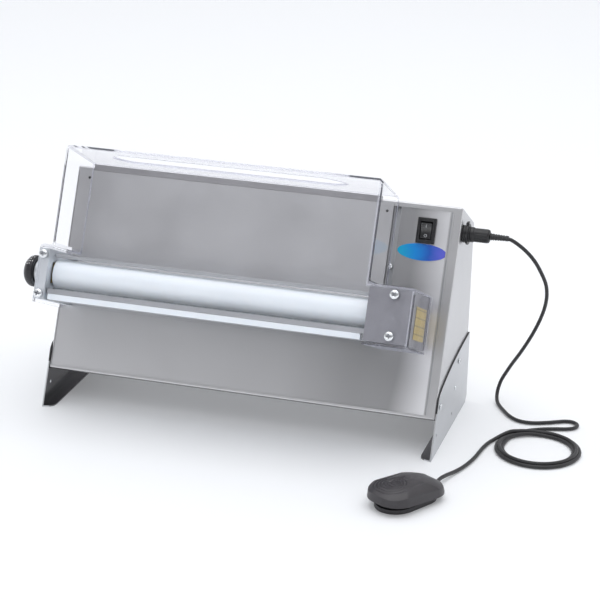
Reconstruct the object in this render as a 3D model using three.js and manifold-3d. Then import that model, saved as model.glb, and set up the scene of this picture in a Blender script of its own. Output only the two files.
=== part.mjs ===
// A bench-top dough and pasta sheeter: a sloping stainless case on two feet, a pair of plastic
// rollers held between end blocks on its front, a clear guard over them, a geared motor inside
// and a foot pedal on a lead.
//
// Millimetres, +Z up, +Y towards the back, +X to the right. The parts are drawn in machine
// coordinates: x = 0 is the case's left side, y = 0 the front panel's lower edge, z = 0 the table.
// Parts on the sloping front sit in the panel group, where Y runs into the panel and Z up the slope.
import * as THREE from 'three';
import { mergeVertices } from 'three/addons/utils/BufferGeometryUtils.js';
import Module from 'manifold-3d';

const wasm = await Module();
wasm.setup();

// ---------------------------------------------------------------- driving dimensions
const GAP = 0.3;                       // space between touching pieces
const SHEET = 1.5;                     // stainless sheet

const CASE_WIDTH = 600;
const CASE_DEPTH = 216.5;
const CASE_BOTTOM = 48;
const PANEL_FOOT = 55;                 // height of the front panel's lower edge
const PANEL_LENGTH = 311;              // up the slope
const TILT = THREE.MathUtils.degToRad(24.3);   // the panel leans back this far
const BACK_TOP = 289;

const FEED_LEFT = 3.7;
const FEED_RIGHT = 496;
const FEED_TOP = 305.5;
const FEED_LIP = 163.5;                // lower end of the feed panel, over the rear roller

const ROLLER_RADIUS = 21;
const ROLLER_LEFT = 23;
const ROLLER_RIGHT = 503;
const ROLLER_HEIGHT = 138.5;           // roller axes, up the slope
const REAR_ROLLER_OUT = 36;            // rear roller axis, in front of the panel
const SMALLEST_GAP = 0.6;              // between the rollers when fully closed
const GAP_TRAVEL = 4;
const FRONT_ROLLER_OUT = REAR_ROLLER_OUT + 2 * ROLLER_RADIUS + SMALLEST_GAP;
const SHAFT_RADIUS = 7;

const BLOCK_FRONT = 116.6;             // end blocks stand this far in front of the panel
const BLOCK_BACK = -1.5;
const BLOCK_LOW = 97;
const LEFT_BLOCK = { x0: 5, x1: 21, top: 172 };
const RIGHT_BLOCK = { x0: 505, x1: 567, top: 175, side: 8, wall: 4 };

const GUARD_SHEET = 3;
const GUARD = {
  left: 24, right: 504, top: 327.5, rearTop: 318.5, shoulder: 178.4,
  lowLeft: 5, lowRight: 571.1, bottom: 92, flangeRight: 583,
};

const GEAR = { teeth: 13, addendum: 2.3, dedendum: 2.9, x0: 516, x1: 528 };
const CHAIN = { pitch: 9.525, driveTeeth: 15, rollerTeeth: 12, x0: 534, width: 6, thick: 5 };
const GEARBOX_SHAFT = { y: 130, z: 115 };

const KNOB_RADIUS = 23.7;
const ECCENTRIC = 2.309;               // crank pin offset: 4 mm of travel in 120 degrees
const KNOB_START = THREE.MathUtils.degToRad(30);

const SOCKET = { y: 137, z: 296 };
const CORD_RADIUS = 2.8;
const COIL = { x: 742, y: 63, outer: 64, inner: 48, height: 12.4 };

const PEDAL = { x: 597.6, y: -162.5, turn: THREE.MathUtils.degToRad(-31), width: 72, length: 113 };
const PEDAL_PIVOT = { y: 40, z: 12.4 };  // along the pedal's length, and height

// ---------------------------------------------------------------- finishes
const finish = (color, roughness, metalness) => (
  new THREE.MeshStandardMaterial({ color, roughness, metalness })
);
const STAINLESS = finish('#a9a9ac', 0.35, 0.9);
const CAST_ALLOY = finish('#85858c', 0.45, 0.8);
const STEEL = finish('#c4c6c9', 0.3, 0.95);
const ROLLER_PLASTIC = finish('#eef1f6', 0.4, 0);
const CLEAR = new THREE.MeshStandardMaterial({
  color: '#eef0ff', roughness: 0.05, metalness: 0, transparent: true, opacity: 0.3,
});
const BLACK_PLASTIC = finish('#1b1b1f', 0.5, 0);
const PEDAL_PLASTIC = finish('#4a4a50', 0.55, 0);
const RUBBER = finish('#2a2a2d', 0.75, 0);
const BRASS = finish('#b8964e', 0.4, 0.9);
const MOTOR_PAINT = finish('#3c4148', 0.5, 0.2);
const BADGE_BLUE = finish('#2f7fd0', 0.25, 0);
const LABEL_YELLOW = finish('#d9c04a', 0.5, 0);
const CHAIN_STEEL = finish('#5c5a57', 0.5, 0.9);

// ---------------------------------------------------------------- scene graph
const machine = new THREE.Group();
const sheeter = new THREE.Group();     // machine coordinates
machine.add(sheeter);
const panel = new THREE.Group();
panel.position.z = PANEL_FOOT;
panel.rotation.x = -TILT;
sheeter.add(panel);
const pedal = new THREE.Group();
pedal.position.set(PEDAL.x, PEDAL.y, 0);
pedal.rotation.z = PEDAL.turn;
sheeter.add(pedal);

function add(group, name, piece, material) {
  const geometry = piece instanceof wasm.Manifold ? toGeometry(piece) : piece;
  const mesh = new THREE.Mesh(geometry, material);
  mesh.name = name;
  group.add(mesh);
  return mesh;
}

// ---------------------------------------------------------------- solids
const WELD = 1e-4;

function weld(geometry) {
  const bare = geometry.clone();
  bare.deleteAttribute('normal');
  bare.deleteAttribute('uv');
  return mergeVertices(bare, WELD);
}

function toSolid(piece) {
  if (piece instanceof wasm.Manifold) {
    return piece;
  }
  const welded = weld(piece);
  return new wasm.Manifold(new wasm.Mesh({
    numProp: 3,
    vertProperties: Float32Array.from(welded.attributes.position.array),
    triVerts: Uint32Array.from(welded.index.array),
  }));
}

function toGeometry(solid) {
  const mesh = solid.getMesh();
  const geometry = new THREE.BufferGeometry();
  geometry.setAttribute('position', new THREE.BufferAttribute(mesh.vertProperties, 3));
  geometry.setIndex(new THREE.BufferAttribute(mesh.triVerts, 1));
  geometry.computeVertexNormals();
  return geometry;
}

function cut(base, tools) {
  return tools.reduce((solid, tool) => solid.subtract(toSolid(tool)), toSolid(base));
}

function join(pieces) {
  return pieces.slice(1).reduce((solid, piece) => solid.add(toSolid(piece)), toSolid(pieces[0]));
}

function box(x0, x1, y0, y1, z0, z1) {
  const geometry = new THREE.BoxGeometry(x1 - x0, y1 - y0, z1 - z0);
  return geometry.translate((x0 + x1) / 2, (y0 + y1) / 2, (z0 + z1) / 2);
}

// A round bar along X, and one along Y.
function barX(radius, x0, x1, y, z, sides = 32) {
  const geometry = new THREE.CylinderGeometry(radius, radius, x1 - x0, sides);
  return geometry.rotateZ(-Math.PI / 2).translate((x0 + x1) / 2, y, z);
}

function barY(radius, y0, y1, x, z, sides = 24) {
  const geometry = new THREE.CylinderGeometry(radius, radius, y1 - y0, sides);
  return geometry.translate(x, (y0 + y1) / 2, z);
}

function barZ(radius, z0, z1, x, y, sides = 24) {
  const upright = new THREE.CylinderGeometry(radius, radius, z1 - z0, sides).rotateX(Math.PI / 2);
  return upright.translate(x, y, (z0 + z1) / 2);
}

// An outline as a Shape: either one already, or a list of [across, up] points.
function asShape(points) {
  if (points instanceof THREE.Shape) {
    return points;
  }
  return new THREE.Shape(points.map((point) => new THREE.Vector2(...point)));
}

// A flat outline given as [y, z] points, pushed along X.
function prismX(points, x0, x1, holes = []) {
  const shape = asShape(points);
  shape.holes.push(...holes);
  const settings = { depth: x1 - x0, bevelEnabled: false, curveSegments: 8 };
  const geometry = new THREE.ExtrudeGeometry(shape, settings);
  return geometry.applyMatrix4(new THREE.Matrix4().set(0, 0, 1, x0, 1, 0, 0, 0, 0, 1, 0, 0, 0, 0, 0, 1));
}

// A flat outline given as [x, z] points, pushed along Y.
function prismY(points, y0, y1) {
  const shape = asShape(points);
  const settings = { depth: y1 - y0, bevelEnabled: false, curveSegments: 10 };
  const geometry = new THREE.ExtrudeGeometry(shape, settings);
  return geometry.applyMatrix4(new THREE.Matrix4().set(1, 0, 0, 0, 0, 0, -1, y1, 0, 1, 0, 0, 0, 0, 0, 1));
}

function prismZ(points, z0, z1) {
  const shape = asShape(points);
  const settings = { depth: z1 - z0, bevelEnabled: false, curveSegments: 10 };
  const geometry = new THREE.ExtrudeGeometry(shape, settings);
  return geometry.translate(0, 0, z0);
}

// A turned piece: [radius, along] points from axis to axis, its axis along +X.
function turned(points, sides = 32) {
  const profile = points.map(([radius, along]) => new THREE.Vector2(radius, along));
  return new THREE.LatheGeometry(profile, sides).rotateZ(-Math.PI / 2);
}

// ---------------------------------------------------------------- case
const slope = new THREE.Vector2(Math.sin(TILT), Math.cos(TILT));

// The point s up the slope and n in front of the panel, as [y, z].
function onPanel(s, n) {
  return [s * slope.x - n * slope.y, PANEL_FOOT + s * slope.y + n * slope.x];
}

const CASE_OUTLINE = [
  [0, PANEL_FOOT], [14, CASE_BOTTOM], [CASE_DEPTH, CASE_BOTTOM], [CASE_DEPTH, BACK_TOP],
  onPanel(PANEL_LENGTH, 0),
];

function inset(points, distance) {
  const lines = points.map((point, i) => {
    const a = new THREE.Vector2(...point);
    const b = new THREE.Vector2(...points[(i + 1) % points.length]);
    const along = b.clone().sub(a).normalize();
    const inward = new THREE.Vector2(-along.y, along.x);
    return { start: a.addScaledVector(inward, distance), along };
  });
  return lines.map((line, i) => {
    const before = lines[(i + lines.length - 1) % lines.length];
    const offset = line.start.clone().sub(before.start);
    const reach = offset.cross(line.along) / before.along.cross(line.along);
    const corner = before.start.clone().addScaledVector(before.along, reach);
    return [corner.x, corner.y];
  });
}

function inPanelFrame(geometry) {
  return geometry.rotateX(-TILT).translate(0, 0, PANEL_FOOT);
}

function bodyShell() {
  const outer = prismX(CASE_OUTLINE, 0, CASE_WIDTH);
  const inner = prismX(inset(CASE_OUTLINE, SHEET), SHEET, CASE_WIDTH - SHEET);
  const frontWindow = inPanelFrame(box(4, 585, -4, 4, 7, 303));
  const backWindow = box(16, CASE_WIDTH - 16, CASE_DEPTH - 4, CASE_DEPTH + 4, 64, BACK_TOP - 16);
  const bottomWindow = box(16, CASE_WIDTH - 16, 28, CASE_DEPTH - 14, CASE_BOTTOM - 4, CASE_BOTTOM + 4);
  const socketHole = barX(10.6, CASE_WIDTH - 4, CASE_WIDTH + 4, SOCKET.y, SOCKET.z, 24);
  const footHoles = [];
  for (const x of [0, CASE_WIDTH]) {
    for (const [y, z] of BRACKET_SCREWS) {
      footHoles.push(barX(2.6, x - 4, x + 4, y, z, 12));
    }
  }
  return cut(outer, [inner, frontWindow, backWindow, bottomWindow, socketHole, ...footHoles]);
}

const SWITCH = { x: 549.8, s: 271.7, width: 28, height: 38 };
const CHANNEL = { x0: 497, x1: 509, low: 186, high: 302.5 };

function frontPanel() {
  const sheet = box(2, CASE_WIDTH - 2, SHEET + GAP, 2 * SHEET + GAP, 5, 307);
  const switchHole = box(SWITCH.x - 11.3, SWITCH.x + 11.3, 0, 6, SWITCH.s - 15.3, SWITCH.s + 15.3);
  const channel = box(CHANNEL.x0, CHANNEL.x1, 0, 6, CHANNEL.low, CHANNEL.high);
  const driveHole = box(515, 560, 0, 6, 103, 168);
  return cut(sheet, [switchHole, channel, driveHole]);
}

function feedPanel() {
  const front = -SHEET - GAP;
  const back = -GAP;
  const outline = new THREE.Shape();
  outline.moveTo(back, FEED_TOP);
  outline.lineTo(front, FEED_TOP);
  outline.lineTo(front, FEED_LIP + 7);
  outline.lineTo(-22, FEED_LIP);
  outline.lineTo(-22, FEED_LIP - SHEET);
  outline.lineTo(back, FEED_LIP + 7 - SHEET);
  outline.closePath();
  const sheet = prismX(outline, GUARD.left + GUARD_SHEET + 1, FEED_RIGHT);
  const stripRight = GUARD.left + GUARD_SHEET + 2;
  const leftStrip = box(FEED_LEFT, stripRight, front, back, LEFT_BLOCK.top + 1.5, FEED_TOP);
  const screwHoles = [21, 487].map((x) => barY(2.2, -6, 4, x, 294, 16));
  return cut(join([sheet, leftStrip]), screwHoles);
}

function rearCover() {
  const sheet = box(5, CASE_WIDTH - 5, CASE_DEPTH + GAP, CASE_DEPTH + GAP + SHEET, 54, BACK_TOP - 6);
  const slots = [];
  for (let row = 0; row < 2; row += 1) {
    for (let i = 0; i < 8; i += 1) {
      const x = 150 + i * 16 + row * 190;
      slots.push(box(x, x + 6, CASE_DEPTH - 2, CASE_DEPTH + 6, 170, 230));
    }
  }
  const glandHole = barY(7.5, CASE_DEPTH - 2, CASE_DEPTH + 6, GLAND.x, GLAND.z, 20);
  return cut(sheet, [...slots, glandHole]);
}

function bottomPlate() {
  const sheet = box(6, CASE_WIDTH - 6, 20, CASE_DEPTH - 6, CASE_BOTTOM - GAP - SHEET, CASE_BOTTOM - GAP);
  const drains = [0, 1, 2, 3].map((i) => barZ(4, CASE_BOTTOM - 6, CASE_BOTTOM + 2, 120 + i * 120, 150, 12));
  return cut(sheet, drains);
}

// ---------------------------------------------------------------- feet
const BRACKET_SCREWS = [[141.5, 94], [22.5, 68]];
const BRACKET_HOLES = [[124, 57], [109.5, 21], [5.8, 29.7]];
const BRACKET_SHEET = 2;
const FLANGE_WIDTH = 18;

function bracket(outerX, side) {
  const foot = -PANEL_FOOT * Math.tan(TILT);
  const shape = new THREE.Shape();
  shape.moveTo(foot, 0);
  shape.lineTo(CASE_DEPTH - 10, 0);
  shape.lineTo(CASE_DEPTH, 9);
  shape.lineTo(CASE_DEPTH, 112);
  shape.quadraticCurveTo(90, 108, 24, 89);
  shape.quadraticCurveTo(13, 86.5, 9.5, 76);
  shape.closePath();
  const inner = outerX - side * BRACKET_SHEET;
  const plate = prismX(shape, Math.min(inner, outerX), Math.max(inner, outerX));
  const reach = outerX - side * FLANGE_WIDTH;
  const flange = prismZ([
    [outerX - side * 1, foot], [outerX - side * 1, CASE_DEPTH - 10], [reach, CASE_DEPTH - 10],
    [reach, foot + 16], [reach + side * 1.5, foot + 8], [reach + side * 7, foot + 3],
  ], 0, BRACKET_SHEET);
  const holes = [...BRACKET_SCREWS, ...BRACKET_HOLES].map(([y, z]) => (
    barX(2.6, outerX - 5, outerX + 5, y, z, 12)
  ));
  return cut(join([plate, flange]), holes);
}

// A pan-head screw along -Y (its head in front), drawn from the head's underside at y = 0.
function panScrew(headRadius, headHeight, shankRadius, length, sides = 16) {
  return turned([
    [0, -headHeight], [headRadius * 0.62, -headHeight * 0.94], [headRadius * 0.92, -headHeight * 0.6],
    [headRadius, -headHeight * 0.2], [headRadius, 0], [shankRadius, 0], [shankRadius, length], [0, length],
  ], sides);
}

// ---------------------------------------------------------------- end blocks
const ROLLER_WINDOW = { halfN: 13, halfS: 15 };

function rollerOpenings(x0, x1) {
  const bush = barX(11.3, x0, x1, -REAR_ROLLER_OUT, ROLLER_HEIGHT, 24);
  const slot = box(
    x0, x1,
    -FRONT_ROLLER_OUT - ROLLER_WINDOW.halfN - GAP_TRAVEL - 0.6,
    -FRONT_ROLLER_OUT + ROLLER_WINDOW.halfN + GAP,
    ROLLER_HEIGHT - ROLLER_WINDOW.halfS - GAP, ROLLER_HEIGHT + ROLLER_WINDOW.halfS + GAP,
  );
  return [bush, slot];
}

const GUARD_SCREWS = [[13.4, 163], [13.4, 104.5], [542.5, 166], [542.5, 107]];

function screwBores(screws) {
  return screws.map(([x, s]) => barY(2.9, -BLOCK_FRONT - 8, -BLOCK_FRONT + 12.6, x, s, 14));
}

function leftEndPlate() {
  const plate = box(LEFT_BLOCK.x0, LEFT_BLOCK.x1, -BLOCK_FRONT, -BLOCK_BACK, BLOCK_LOW, LEFT_BLOCK.top);
  const x0 = LEFT_BLOCK.x0 - 2;
  const x1 = LEFT_BLOCK.x1 + 2;
  return cut(plate, [...rollerOpenings(x0, x1), ...screwBores(GUARD_SCREWS.slice(0, 2))]);
}

function rightGearHousing() {
  const { x0, x1, top, side, wall } = RIGHT_BLOCK;
  const outer = box(x0, x1, -BLOCK_FRONT, -BLOCK_BACK, BLOCK_LOW, top);
  const hollow = box(x0 + side, x1 - wall, -BLOCK_FRONT + wall, 10, BLOCK_LOW + wall, top - wall);
  const bosses = GUARD_SCREWS.slice(2).map(([x, s]) => (
    barY(5.5, -BLOCK_FRONT + 1, -BLOCK_FRONT + 11, x, s, 14)
  ));
  const shell = cut(outer, [hollow, ...rollerOpenings(x0 - 2, x0 + side + 2)]);
  return cut(join([shell, ...bosses]), GUARD_SCREWS.slice(2).map(([x, s]) => (
    barY(2.9, -BLOCK_FRONT - 8, -BLOCK_FRONT + 9.6, x, s, 14)
  )));
}

// ---------------------------------------------------------------- rollers and drive
function roller(n) {
  const sleeve = barX(ROLLER_RADIUS, ROLLER_LEFT, ROLLER_RIGHT, -n, ROLLER_HEIGHT, 40);
  return cut(sleeve, [barX(SHAFT_RADIUS + GAP, ROLLER_LEFT - 1, ROLLER_RIGHT + 1, -n, ROLLER_HEIGHT, 24)]);
}

function bush(x0, x1, n) {
  const body = barX(11, x0, x1, -n, ROLLER_HEIGHT, 24);
  return cut(body, [barX(SHAFT_RADIUS + GAP, x0 - 1, x1 + 1, -n, ROLLER_HEIGHT, 24)]);
}

function bearingBlock(x0, x1) {
  const { halfN, halfS } = ROLLER_WINDOW;
  return box(
    x0, x1, -FRONT_ROLLER_OUT - halfN, -FRONT_ROLLER_OUT + halfN,
    ROLLER_HEIGHT - halfS, ROLLER_HEIGHT + halfS,
  );
}

function leftBearing() {
  const block = bearingBlock(LEFT_BLOCK.x0 + GAP, LEFT_BLOCK.x1 - GAP);
  const bore = barX(SHAFT_RADIUS + GAP, 12, LEFT_BLOCK.x1 + 2, -FRONT_ROLLER_OUT, ROLLER_HEIGHT, 24);
  const crankSlot = box(
    LEFT_BLOCK.x0 - 2, 10.2, -FRONT_ROLLER_OUT - 3.6, -FRONT_ROLLER_OUT + 3.6,
    ROLLER_HEIGHT - 4, ROLLER_HEIGHT + 8,
  );
  return cut(block, [bore, crankSlot]);
}

function rightBearing() {
  const block = bearingBlock(RIGHT_BLOCK.x0 + GAP, RIGHT_BLOCK.x0 + RIGHT_BLOCK.side - GAP);
  const bore = barX(
    SHAFT_RADIUS + GAP, RIGHT_BLOCK.x0 - 2, RIGHT_BLOCK.x0 + 20, -FRONT_ROLLER_OUT, ROLLER_HEIGHT, 24,
  );
  return cut(block, [bore]);
}

// A spur gear on an X axis. start turns it so that a tooth (0) or a space (0.5) points at -Y.
function rollerGear(n, start) {
  const pitchRadius = (FRONT_ROLLER_OUT - REAR_ROLLER_OUT) / 2;
  const tip = pitchRadius + GEAR.addendum;
  const root = pitchRadius - GEAR.dedendum;
  const step = (2 * Math.PI) / GEAR.teeth;
  const outline = [];
  for (let i = 0; i < GEAR.teeth; i += 1) {
    const middle = Math.PI + (i + start) * step;
    for (const [radius, part] of [[root, -0.28], [tip, -0.1], [tip, 0.1], [root, 0.28]]) {
      const angle = middle + part * step;
      outline.push([-n + radius * Math.cos(angle), ROLLER_HEIGHT + radius * Math.sin(angle)]);
    }
  }
  const bore = barX(SHAFT_RADIUS + GAP, GEAR.x0 - 1, GEAR.x1 + 1, -n, ROLLER_HEIGHT, 24);
  return cut(prismX(outline, GEAR.x0, GEAR.x1), [bore]);
}

function chainRadius(teeth) {
  return CHAIN.pitch / (2 * Math.sin(Math.PI / teeth));
}

// A toothed disc that stays inside the chain's inner line.
function sprocket(teeth, y, z, x0, x1, boreRadius) {
  const tip = chainRadius(teeth) - CHAIN.thick / 2 - 0.5;
  const outline = [];
  for (let i = 0; i < teeth; i += 1) {
    for (const [radius, part] of [[tip - 2, -0.32], [tip, -0.14], [tip, 0.14], [tip - 2, 0.32]]) {
      const angle = ((i + part) * 2 * Math.PI) / teeth;
      outline.push([y + radius * Math.cos(angle), z + radius * Math.sin(angle)]);
    }
  }
  return cut(prismX(outline, x0, x1), [barX(boreRadius, x0 - 1, x1 + 1, y, z, 24)]);
}

// The loop round two circles, as points: circles and their tangents.
function tangentLoop(a, radiusA, b, radiusB, steps = 14) {
  const apart = b.clone().sub(a);
  const heading = Math.atan2(apart.y, apart.x);
  const wrap = Math.acos((radiusA - radiusB) / apart.length());
  const points = [];
  for (let i = 0; i <= steps; i += 1) {
    const angle = heading + wrap + ((2 * Math.PI - 2 * wrap) * i) / steps;
    points.push(new THREE.Vector2(a.x + radiusA * Math.cos(angle), a.y + radiusA * Math.sin(angle)));
  }
  for (let i = 0; i <= steps; i += 1) {
    const angle = heading - wrap + (2 * wrap * i) / steps;
    points.push(new THREE.Vector2(b.x + radiusB * Math.cos(angle), b.y + radiusB * Math.sin(angle)));
  }
  return points;
}

const REAR_AXIS = new THREE.Vector2(...onPanel(ROLLER_HEIGHT, REAR_ROLLER_OUT));
const DRIVE_AXIS = new THREE.Vector2(GEARBOX_SHAFT.y, GEARBOX_SHAFT.z);

function driveChain() {
  const driveRadius = chainRadius(CHAIN.driveTeeth);
  const rollerRadius = chainRadius(CHAIN.rollerTeeth);
  const half = CHAIN.thick / 2;
  const loop = (offset) => tangentLoop(DRIVE_AXIS, driveRadius + offset, REAR_AXIS, rollerRadius + offset);
  const outside = new THREE.Shape(loop(half));
  outside.holes.push(new THREE.Path(loop(-half)));
  return prismX(outside, CHAIN.x0, CHAIN.x0 + CHAIN.width);
}

// ---------------------------------------------------------------- rails and scrapers
function scraperBlade(tipN, tipS, footN, footS, thickness) {
  const along = new THREE.Vector2(footN - tipN, footS - tipS).normalize();
  const across = new THREE.Vector2(-along.y, along.x).multiplyScalar(thickness);
  return prismX([
    [-tipN, tipS], [-tipN - across.x * 0.3, tipS + across.y * 0.3],
    [-footN - across.x, footS + across.y], [-footN, footS],
  ], ROLLER_LEFT + 1, ROLLER_RIGHT - 1);
}

// ---------------------------------------------------------------- guard
function guard() {
  const inner = BLOCK_FRONT + GAP + 0.1;
  const outer = inner + GUARD_SHEET;
  const { left, right, top, rearTop, shoulder, lowLeft, lowRight, bottom, flangeRight } = GUARD;
  const face = prismY([
    [lowLeft, bottom], [lowRight, bottom], [lowRight, shoulder], [right, shoulder], [right, top - 1],
    [left, top - 1], [left, shoulder], [lowLeft, shoulder],
  ], -outer, -inner);
  const rear = 2.1;
  const sideOutline = [[-outer, shoulder - 3], [-rear, shoulder - 3], [-rear, rearTop], [-outer, top]];
  const leftSide = prismX(sideOutline, left, left + GUARD_SHEET);
  const rightSide = prismX(sideOutline, right - GUARD_SHEET, right);
  const roof = prismX([
    [-outer, top - GUARD_SHEET], [-rear, rearTop - GUARD_SHEET], [-rear, rearTop], [-outer, top],
  ], left, right);
  const slotShape = new THREE.Shape();
  slotShape.moveTo(102, -38);
  slotShape.lineTo(414, -38);
  slotShape.quadraticCurveTo(432, -44, 440, -58);
  slotShape.quadraticCurveTo(428, -76, 406, -84);
  slotShape.lineTo(96, -84);
  slotShape.quadraticCurveTo(84, -76, 77, -62);
  slotShape.quadraticCurveTo(86, -46, 102, -38);
  const roofSlot = prismZ(slotShape, rearTop - 12, top + 12);
  const shelf = box(right - 1, lowRight, -outer + 1, 1.4, shoulder - GUARD_SHEET, shoulder);
  const lowSide = box(lowRight - GUARD_SHEET, lowRight, -outer + 1, 1.4, bottom, shoulder);
  const floor = box(right - 1, lowRight, -outer + 1, -2, bottom, bottom + GUARD_SHEET);
  const ear = prismY([
    [lowRight - 1, bottom], [flangeRight, bottom], [flangeRight, shoulder - 21],
    [flangeRight - 10, shoulder - 2],
    [lowRight - 1, shoulder - 2],
  ], -1.6, 1.4);
  const holes = GUARD_SCREWS.map(([x, s]) => barY(3, -outer - 2, -inner + 2, x, s, 16));
  const walls = cut(join([face, leftSide, rightSide, roof]), [roofSlot]);
  return cut(join([walls, shelf, lowSide, floor, ear]), holes);
}

// ---------------------------------------------------------------- knob
const KNOB_AXIS = { n: FRONT_ROLLER_OUT + GAP_TRAVEL / 2, s: ROLLER_HEIGHT };

function knobSpindle() {
  const shaft = turned([[0, -12], [5, -12], [5, 5], [0, 5]], 24);
  const pinY = ECCENTRIC * Math.cos(KNOB_START);
  const pinZ = ECCENTRIC * Math.sin(KNOB_START);
  return join([shaft, barX(3, 4.8, 9.6, pinY, pinZ, 20)]);
}

function gapKnob() {
  const sides = 40;
  const dome = turned([
    [0, -26], [7, -25.6], [14, -23.8], [19, -20.6], [22.2, -16], [KNOB_RADIUS, -11], [KNOB_RADIUS, -8],
    [0, -8],
  ], sides);
  return cut(dome, [barX(5 + GAP, -13, -4, 0, 0, 20)]);
}

function knobCollar() {
  const disc = turned([[0, -7.6], [16, -7.6], [17, -6.6], [17, 0.7], [21, 1.4], [21, 4.6], [0, 4.6]], 24);
  return cut(disc, [barX(5 + GAP, -12, 12, 0, 0, 20)]);
}

// ---------------------------------------------------------------- switch
function switchBody() {
  const { width, height } = SWITCH;
  const bezel = box(-width / 2, width / 2, -3.4, GAP, -height / 2, height / 2);
  const can = box(-10.9, 10.9, 0, 20, -14.9, 14.9);
  const pocket = box(-8.6, 8.6, -5, 9, -13, 13);
  return cut(join([bezel, can]), [pocket]);
}

const ROCKER_TILT = THREE.MathUtils.degToRad(9);

function switchRocker() {
  const outline = [[-4.2, 11.4], [-1.6, 0], [-4.2, -11.4], [2, -11.6], [4.4, 0], [2, 11.6]];
  return prismX(outline, -8.1, 8.1).rotateX(ROCKER_TILT);
}

function ellipse(width, height, steps = 40) {
  const points = [];
  for (let i = 0; i < steps; i += 1) {
    const angle = (2 * Math.PI * i) / steps;
    points.push([(width / 2) * Math.cos(angle), (height / 2) * Math.sin(angle)]);
  }
  return points;
}

// ---------------------------------------------------------------- motor unit
const GLAND = { x: 470, z: 84 };
const MOTOR = { x0: 232, x1: 392, radius: 44 };
const GEARBOX = { x0: 393, x1: 470 };

function gearMotor() {
  const { y, z } = GEARBOX_SHAFT;
  const fins = [];
  for (let i = 0; i < 4; i += 1) {
    fins.push(barX(MOTOR.radius + 1.8, MOTOR.x0 + 36 + i * 24, MOTOR.x0 + 42 + i * 24, y, z - 4, 20));
  }
  return join([
    barX(MOTOR.radius, MOTOR.x0 + 24, MOTOR.x1, y, z - 4, 20),
    barX(MOTOR.radius - 3, MOTOR.x0, MOTOR.x0 + 26, y, z - 4, 20),
    ...fins,
  ]);
}

function gearbox() {
  const { y, z } = GEARBOX_SHAFT;
  const block = box(GEARBOX.x0 + GAP, GEARBOX.x1, y - 42, y + 42, z - 46, z + 40);
  const nose = barX(20, GEARBOX.x1 - 1, GEARBOX.x1 + 12, y, z, 24);
  return cut(join([block, nose]), [barX(9 + GAP, GEARBOX.x1 - 30, GEARBOX.x1 + 20, y, z, 24)]);
}

// The driving sprocket and the gearbox's output shaft are one turned piece.
function driveSprocket() {
  const { y, z } = GEARBOX_SHAFT;
  const disc = sprocket(CHAIN.driveTeeth, y, z, CHAIN.x0, CHAIN.x0 + CHAIN.width, 4);
  return join([disc, barX(9, GEARBOX.x1 - 28, CHAIN.x0 + CHAIN.width + 8, y, z, 24)]);
}

function motorMount() {
  const { y } = GEARBOX_SHAFT;
  const base = box(300, GEARBOX.x1 + 6, y - 56, y + 56, 50, 53);
  const post = box(404, 460, y - 44, y + 44, 52, 68.4);
  const saddle = box(300, 360, y - 30, y + 30, 52, 66);
  const cradle = barX(MOTOR.radius + 2.4, 290, 366, y, GEARBOX_SHAFT.z - 4, 28);
  return cut(join([base, post, saddle]), [cradle]);
}

function controlBox() {
  return join([box(90, 190, 120, 200, 50, 92), barX(15, 189, 222, 150, 72, 20)]);
}

// ---------------------------------------------------------------- lead and plug
function pedalSocket() {
  const body = turned([
    [0, -14], [9.8, -14], [9.8, -SHEET - 1], [10.2, -SHEET - 1], [10.2, GAP], [13, GAP], [13, 5.4],
    [15.6, 5.4],
    [15.6, 8.8], [11.8, 8.8], [11.8, 11], [0, 11],
  ], 20);
  const latch = box(5.6, 8.6, -4, 4, 14, 19);
  const well = barX(8, 2, 14, 0, 0, 20);
  return cut(join([body, latch]), [well]);
}

function pedalPlug() {
  return turned([
    [0, 2.4], [7.4, 2.4], [7.4, 11 + GAP], [11.2, 11 + GAP], [11.2, 16], [10.3, 17], [10.3, 37], [9.2, 39.6],
    [6.8, 40.2], [0, 40.2],
  ], 20);
}

function plugBoot() {
  return turned([[0, 40.5], [5.2, 40.5], [5, 46], [4.2, 60], [4, 67.5], [0, 67.5]], 16);
}

// Centre-line of the lead, by hand: it droops from the plug, lands behind the case's corner,
// runs out across the table, turns back and winds into the coil.
const UPPER_LEAD = [
  [668.9, 137, 295], [673.4, 137.4, 293.2], [681, 139.6, 288], [690, 142.2, 280.5],
  [699.2, 145, 271], [707, 148, 260.4], [713, 151.2, 249.3], [718, 155.2, 237.8],
  [721.8, 160, 226], [723.4, 165.3, 213.4], [723.2, 170.6, 200], [721.2, 175.7, 186],
  [717.4, 181.3, 171], [711, 188, 152.2], [702, 196, 130.4], [692.2, 204.4, 109.8],
  [681.6, 213, 89.4], [669.6, 222.6, 68], [659.6, 229, 49], [652.6, 231.4, 34.4],
  [649, 229.4, 21.6], [648.6, 223, 11.8], [651.4, 213.6, 5.4], [658, 202, 3.2],
  [667.4, 186.6, 3.2], [676.2, 173.6, 3.2], [684.6, 164.4, 3.2], [693, 158.4, 3.2],
  [704, 155.2, 3.2], [718.6, 156.6, 3.2], [736, 163.6, 3.2], [751, 172.2, 3.2], [764, 178.8, 3.2],
  [775, 178.6, 3.2], [782.6, 170.2, 3.2], [780.2, 158.6, 3.2], [770, 151, 3.2], [757, 146.6, 3.2],
  [743, 141.6, 3.4], [729.6, 135, 4.6],
];
const LOWER_LEAD = [
  [677.4, 84, 3.2], [672.4, 73, 3.2], [668, 60, 3.2], [664.8, 44, 3.2], [662.6, 26, 3.2],
  [660.6, 8, 3.2], [657, -11, 3.2], [651.4, -32, 3.4], [645.4, -49.6, 4.2], [639.4, -65, 5.8],
  [634.8, -79, 7.8], [631.6, -92, 9.2], [627.4, -112.8, 9.8],
];

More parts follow.
